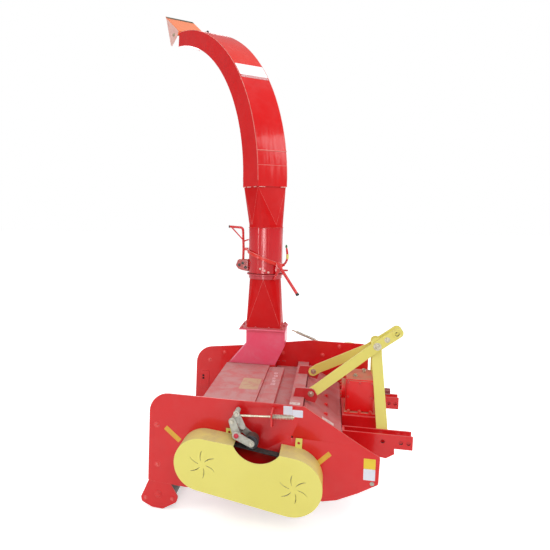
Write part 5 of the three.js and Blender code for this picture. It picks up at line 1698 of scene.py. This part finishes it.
shell(bm, [[Vector((0.0085 * cos(t), y, 0.028 + 0.0085 * sin(t))) for t in full_turn(6)] for y in (-0.038, 0.038)])
pin_shape = local_piece("pin_shape", bm, plated_steel)
copies("flail_lugs", "rotor", lug, flail_y, worn_steel, "worn_steel")
copies("flails", "rotor", flail, flail_y, bare_iron, "worn_steel")
copies("flail_pins", "rotor", pin_shape, flail_y, plated_steel, "plated_steel")
for shape in (lug, flail, pin_shape):
    bpy.data.objects.remove(shape)
print("flails:", len(flail_y), "reach", round(REACH, 4))

# %% Auger
AUGER_R, AUGER_START, AUGER_END = radius_of("auger_screw"), -0.480, 0.352
bm = bmesh.new()
turned(bm, on_shaft(AUGER, -0.495), TO_LEFT, [(0, 0.02), (0, 0.039), (0.001, 0.04), (0.862, 0.04), (0.863, 0.039),
                                                   (0.863, 0.02)], 40)
turned(bm, on_shaft(AUGER, -0.6175), TO_LEFT, solid([(0, 0.017), (0.002, 0.019), (1.148, 0.019), (1.15, 0.017)]),
       28)
turns, steps = 3, 48
rings = []
for i in range(turns * steps + 1):
    turn = 2 * pi * i / steps
    y = AUGER_START + (AUGER_END - AUGER_START) * i / (turns * steps)
    wear = 0.0012 * sin(5.3 * turn) - 0.0016
    rings.append([at(AUGER.x + r * cos(turn), y + dy, AUGER.z + r * sin(turn)) for r, dy in
                  ((0.036, 0.0), (AUGER_R + wear, 0.0008), (AUGER_R + wear, 0.0042), (0.036, 0.005))])
shell(bm, rings)
done(piece("auger_flight", bm, worn_steel, 30), "auger", "worn_steel", "auger_screw")
helix = [at(AUGER.x + 0.041 * cos(2 * pi * i / 24), AUGER_START + (AUGER_END - AUGER_START) * i / 72 + 0.006,
            AUGER.z + 0.041 * sin(2 * pi * i / 24))
         for i in range(73)]
weld("auger_weld", "auger", [helix], bare_iron, 0.0028, "worn_steel")

# %% Blower wheel
bm = bmesh.new()
turned(bm, on_shaft(AUGER, 0.376), TO_LEFT, [(0, 0.021), (0, 0.067), (0.003, 0.069), (0.101, 0.069),
                                                  (0.103, 0.067), (0.103, 0.021)], 48)
paddle_bolts = []
for i in range(4):
    turn = i * pi / 2 + 0.3
    out, over = Vector((cos(turn), 0, -sin(turn))), Vector((sin(turn), 0, cos(turn)))
    centre = on_shaft(AUGER, 0.428)
    reach = radius_of("blower_wheel") - 0.009
    rows = []
    for r, half in ((0.062, 0.030), (0.105, 0.034), (reach - 0.012, 0.054), (reach, 0.050)):
        rows.append([centre + out * r + TO_LEFT * y + over * t for y,
                     t in ((-half, -0.0035), (half, -0.0035), (half, 0.0035), (-half, 0.0035))])
    shell(bm, rows)
    paddle_bolts += [(centre + out * 0.088 + TO_LEFT * y + over * 0.0035, over) for y in (-0.018, 0.018)]
done(ease(piece("blower_paddles", bm, worn_steel), 0.001), "auger", "worn_steel", "blower_wheel")
bolts("paddle_bolts", "auger", paddle_bolts, 0.009, 0.007, 0.012)
print("auger radius", round(AUGER_R, 4))

# %% [markdown]
# ## Chute turning gear
# The sleeve stands in a rolled collar on the lower chute's flange. An operator turns it by a bent
# handle, and a strap lever on the near side clamps it. Both are bar and flat iron, hand-welded.


# %% Flanges and collar
def plate_ring(name, x0, x1, y0, y1, hole, z0, z1, material, body, slot, corner=0.008):
    """A flat flange with a hole in it: hole is (x0, x1, y0, y1)."""
    bm = bmesh.new()
    shell(bm, [[at(x, y, z) for x, y in oblong(x0, x1, y0, y1, corner)] for z in (z0, z1)])
    cut = bmesh.new()
    hx0, hx1, hy0, hy1 = hole
    shell(cut, [[at(x, y, z) for x, y in ((hx0, hy0), (hx1, hy0), (hx1, hy1), (hx0, hy1))] for z in (z0 - 0.01,
                                                                                                     z1 + 0.01)])
    made = drill(piece(name, bm, material), piece("flange_cutter", cut, dark_gap))
    return done(ease(made, 0.0008), body, slot)


# The duct's pink finish: dust and a painted sheen.
softened("outlet_duct", duct_dust_and_sheen, "frame", "red_paint", 0.0012, 2)
softened("blower_housing", red_paint, "frame", "red_paint", 0.0012, 2)
FLANGE_Z = lower_box[0].z - 0.0006
inner_rect = (CHUTE.x + DUCT_RECT[0] + 0.004, CHUTE.x + DUCT_RECT[1] - 0.004, CHUTE.y + DUCT_RECT[2] + 0.004,
              CHUTE.y + DUCT_RECT[3] - 0.004)
plate_ring("lower_chute_flange", 0.381, 0.693, 0.274, 0.501, inner_rect, FLANGE_Z + 0.0006, FLANGE_Z + 0.0066,
           flange_red,
           "frame", "red_paint")
flange_bolts = []
for i in range(4):
    x = 0.398 + (0.676 - 0.398) * i / 3
    flange_bolts += [(at(x, y, FLANGE_Z + 0.0066), TO_TOP) for y in (0.282, 0.492)]
flange_bolts += [(at(x, 0.387, FLANGE_Z + 0.0066), TO_TOP) for x in (0.394, 0.680)]
bolts("flange_bolts", "frame", flange_bolts, 0.0075, 0.0065, 0.0105, flange_red, "red_paint")
foot_line = [(inner_rect[0] - 0.004, inner_rect[2] - 0.004), (inner_rect[1] + 0.004, inner_rect[2] - 0.004),
             (inner_rect[1] + 0.004, inner_rect[3] + 0.004), (inner_rect[0] - 0.004, inner_rect[3] + 0.004)]
foot_line.append(foot_line[0])
weld("flange_weld", "frame", [[at(x, y, FLANGE_Z + 0.0072) for x, y in foot_line]], flange_red, 0.0026)


def rolled_ring(name, profile, material, body, slot, *nodes):
    """A ring round the chute's axis; profile is a closed outline of (radius, z)."""
    bm = bmesh.new()
    rings = [[from_sleeve(*circle_at(radius, z, t)) for radius, z in profile] for t in full_turn(72)]
    shell(bm, rings, looped=True)
    return done(ease(piece(name, bm, material), 0.0008), body, slot, *nodes)


RING_R, SEAT_Z = LOWER_R + 0.0008, SLEEVE_Z[0]
rolled_ring("rolled_collar", [(RING_R, SEAT_Z - 0.038), (RING_R + 0.0065, SEAT_Z - 0.038),
                              (RING_R + 0.0065, SEAT_Z - 0.014),
                              (RING_R + 0.020, SEAT_Z - 0.0135), (RING_R + 0.020,
                                                                  SEAT_Z - 0.0065), (RING_R, SEAT_Z - 0.006)],
            flange_red, "frame", "dusty_red_paint", "swivel_collar")
weld("collar_weld", "frame", [hoop(LOWER_R + 0.001, SEAT_Z - 0.0395, 40)], flange_red, 0.0026)
print("flange bolts:", len(flange_bolts))


# %% Handle and bracket
def bent(points, bend=0.022, steps=5):
    """A line with its corners rounded, ready for a tube."""
    line = [points[0]]
    for before, corner, after in zip(points, points[1:], points[2:]):
        a, b = (before - corner).normalized(), (after - corner).normalized()
        for i in range(steps + 1):
            t = i / steps
            start, end = corner + a * bend, corner + b * bend
            line.append(start * (1 - t) ** 2 + corner * 2 * t * (1 - t) + end * t ** 2)
    return line + [points[-1]]


def side_on(x, z, y=0.0):
    return at(x, CHUTE.y + y, z)


bm = bmesh.new()
handle = bent([side_on(0.286, 1.655), side_on(0.381, 1.648), side_on(0.386, 1.500), side_on(0.383, 1.372)])
tube(bm, handle, 0.0085, 16)
tube(bm, [side_on(0.302, 1.648), side_on(0.384, 1.560)], 0.0046, 10)
tube(bm, [side_on(0.388, 1.553), side_on(0.421, 1.566)], 0.0052, 10)
slab(bm, [(0.386, 1.489), (0.386, 1.509), (0.4215, 1.509), (0.4215, 1.489)], CHUTE.y - 0.004, CHUTE.y + 0.004)
done(piece("turning_handle", bm, red_paint, 50), "chute", "red_paint", "turning_frame")
bm = bmesh.new()
jaw = rounded([(0.335, 1.386, 0.008), (0.350, 1.425, 0.008), (0.4215, 1.428), (0.4215, 1.344), (0.378, 1.352, 0.006),
               (0.352, 1.362, 0.006)])
for y in (-0.0195, 0.0135):
    slab(bm, jaw, CHUTE.y + y, CHUTE.y + y + 0.006)
slab(bm, [(0.356, 1.3585), (0.356, 1.3645), (0.4215, 1.3645), (0.4215, 1.3585)], CHUTE.y - 0.0134, CHUTE.y + 0.0134)
done(ease(piece("handle_bracket", bm, bracket_red), 0.0008), "chute", "red_paint")
bolts("bracket_bolts", "chute", [(side_on(x, z, -0.0195), TO_RIGHT) for x,
                                 z in ((0.384, 1.402), (0.360, 1.388), (0.404, 1.372))],
      0.0072, 0.0055, 0.0098, black_paint, "black_paint")
weld("bracket_weld", "chute", [[side_on(0.4225, z, y) for z in (1.344, 1.428)] for y in (-0.0165, 0.0165)], red_paint,
     0.0026)
cap = bmesh.new()
tip = (handle[0] - handle[1]).normalized()
turned(cap, handle[0], tip, solid([(-0.002, 0.0094), (0.004, 0.0094), (0.006, 0.007)]), 20)
done(piece("handle_plug", cap, black_paint, 45), "chute", None)


# %% Clamp strap and lever
def strap_at(turn, out, rise):
    radius = SLEEVE_R + out
    return at(CHUTE.x + radius * cos(turn), CHUTE.y + radius * sin(turn), 1.440 - 0.050 * cos(turn) + rise)


bm = bmesh.new()
strap_turns, rings = [radians(-176 + 172 * i / 48) for i in range(49)], []
for turn in strap_turns:
    rings.append([strap_at(turn, out, rise) for out, rise in ((0.0014, -0.0135), (0.0095, -0.0135), (0.0095, 0.0135),
                                                              (0.0014, 0.0135))])
shell(bm, rings)
# The strap takes the lighter red: painted light on its proud face.
strap = ease(piece("clamp_strap", bm, lit_orange_red), 0.0035, 3)
done(strap, "chute", "red_paint", "turning_lever")
# A pale line along the strap's top edge: a painted highlight.
weld("strap_edge", "chute", [[strap_at(turn, 0.0088, 0.0128) for turn in strap_turns]], highlight_pale,
     0.0014)
ROOT, TIP = at(0.636, 0.286, 1.410), at(0.777, 0.230, 1.208)
along = (TIP - ROOT).normalized()
bm = bmesh.new()
tube(bm, [ROOT - along * 0.012, ROOT, TIP - along * 0.002], [0.0085, 0.0098, 0.0098], 18)
tube(bm, [at(0.645, 0.286, 1.372), at(0.612, 0.290, 1.302)], 0.0088, 14)
block(bm, 0.622, 0.652, 0.288, 0.300, 1.355, 1.420)
done(piece("clamp_lever", bm, red_paint, 45), "chute", "red_paint")
grip = bmesh.new()
turned(grip, TIP - along * 0.014, along, [(0, 0.0099), (0, 0.0112), (0.012, 0.0114), (0.016, 0.0095),
                                          (0.0165, PINHOLE)],
       20)
done(piece("lever_tip", grip, black_paint, 45), "chute", None)
bolts("strap_bolts", "chute", [(at(0.645, 0.2875, 1.404), TO_RIGHT), (at(0.628, 0.2875, 1.366), TO_RIGHT)], 0.0075,
      0.006, 0.0105,
      red_paint, "red_paint")
# Pale heads on the set screws: painted glints.
nubs = [(strap_at(radians(d), 0.0, -0.075), Vector((cos(radians(d)), sin(radians(d)), 0))) for d in (-100, -86, -73)]
bolts("sleeve_set_screws", "chute", nubs, 0.006, 0.008, 0.0075, pale_cheek_and_glint, "red_paint")

# %% Latch
bm = bmesh.new()
latch = bent([side_on(0.6655, 1.392, -0.01), side_on(0.690, 1.420, -0.01), side_on(0.692, 1.470, -0.01),
              side_on(0.684, 1.520, -0.01)])
tube(bm, latch, [0.0075] * (len(latch) - 1) + [0.0045], 12)
slab(bm, [(0.6592, 1.386), (0.6592, 1.402), (0.676, 1.402), (0.676, 1.386)], CHUTE.y - 0.02, CHUTE.y)
slab(bm, rounded([(0.6592, 1.350), (0.6592, 1.362), (0.698, 1.360, 0.004), (0.698, 1.352, 0.004)]), CHUTE.y - 0.025,
     CHUTE.y + 0.005)
done(piece("latch_arm", bm, red_paint, 50), "chute", "red_paint")
bm = bmesh.new()
turned(bm, side_on(0.684, 1.512, -0.01), TO_TOP, [(0, PINHOLE), (0, 0.0062), (0.010, 0.0072), (0.020, 0.0045),
                                                  (0.021, PINHOLE)], 16)
done(piece("latch_knob", bm, green_plastic, 50), "chute", None)
bm = bmesh.new()
turned(bm, side_on(0.692, 1.436, -0.01), TO_TOP, solid([(0, 0.0088), (0.030, 0.0088), (0.032, 0.0078)]), 16)
done(piece("latch_sleeve", bm, yellow_paint, 50), "chute", None)
print("handle points:", len(handle))

# %% [markdown]
# ## Deflector flap
# The flap is a folded sheet on a cross pin, with two cheeks that straddle the neck's end. A wing link
# on top of the neck holds it at the angle that was last set.


# %% Deflector flap
HINGE_S, HINGE_Z, FLAP_RISE, FLAP_HALF = 1.050, 3.231, radians(37), NECK_HALF + 0.009


def flap_at(u, v, w):
    return chute_at(HINGE_S + u * cos(FLAP_RISE) + v * sin(FLAP_RISE), w,
                    HINGE_Z + u * sin(FLAP_RISE) - v * cos(FLAP_RISE))


# The flap's lighter red is painted light.
softened("deflector_flap", flap_lit_red, "deflector", "red_paint", 0.0009, 2)


def flap_plate(name, outline, w0, w1, material):
    bm = bmesh.new()
    shell(bm, [[flap_at(u, v, w) for u, v in outline] for w in (w0, w1)])
    return done(ease(piece(name, bm, material), 0.0004, 1), "deflector", "red_paint")


cheek = [(-0.006, 0.004), (0.278, 0.0045), (0.062, 0.148), (0.034, 0.146), (-0.010, 0.050)]
# A thin pale plate lies on the outside of each cheek.
for side, word in ((-1, "left"), (1, "right")):
    flap_plate("cheek_lining_" + word, cheek, side * (FLAP_HALF + 0.0002), side * (FLAP_HALF + 0.0012), pale_cheek_and_glint)
flap_plate("flap_lip", [(0.262, -0.0006), (0.2995, -0.0006), (0.2995, 0.0036), (0.262, 0.0036)], -FLAP_HALF + 0.001,
           FLAP_HALF - 0.001,
           black_paint)
for side in (-1, 1):
    spot = flap_at(0.052, 0.058, side * (FLAP_HALF + 0.0012))
    bolts(f"flap_hinge_bolt_{side + 1}", "deflector", [(spot, ACROSS * side)], 0.0095, 0.007, 0.014)
fold = [flap_at(-0.0099, 0.003, w) for w in (-FLAP_HALF + 0.004, FLAP_HALF - 0.004)]
weld("flap_weld", "deflector", [fold], flap_lit_red, 0.002)
knob = neck_at(0.86, 0, 0.0, 0.002)
up = (neck_at(0.86, 0, 0, 0.05) - neck_at(0.86, 0, 0, 0.0)).normalized()
bm = bmesh.new()
turned(bm, knob - up * 0.001, up, solid([(0, 0.013), (0.005, 0.013), (0.007, 0.0085), (0.013, 0.0085),
                                         (0.015, 0.006)]), 20)
done(piece("link_knob", bm, black_paint, 45), "chute", None)
bm = bmesh.new()
link_line = [neck_at(0.86 + 0.115 * i / 6, 0, 0.0, 0.0055) for i in range(7)]
tube(bm, link_line, 0.0028, 10)
done(piece("flap_link_rod", bm, plated_steel, 50), "chute", "plated_steel")
print("flap half width", round(FLAP_HALF, 4))

# %% [markdown]
# ## Everything that is still bare
# A part that no piece above stands in for keeps the outline of its CAD node, with its edges rounded
# and the finish that its record names. Nothing of the CAD model shows undressed.

# %% Every other node
FINISH = {m.name: m for m in (red_paint, dusty_red, yellow_paint, plated_steel, grey_casting, belt_rubber, black_paint,
                              worn_steel)}
slot_of = {part["node"]: part["material_slot"] for part in frame["record"]["subparts"]}
for name, node in frame["nodes"].items():
    if not node.hide_render:
        softened(name, FINISH[slot_of[name]], node["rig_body"], slot_of[name])
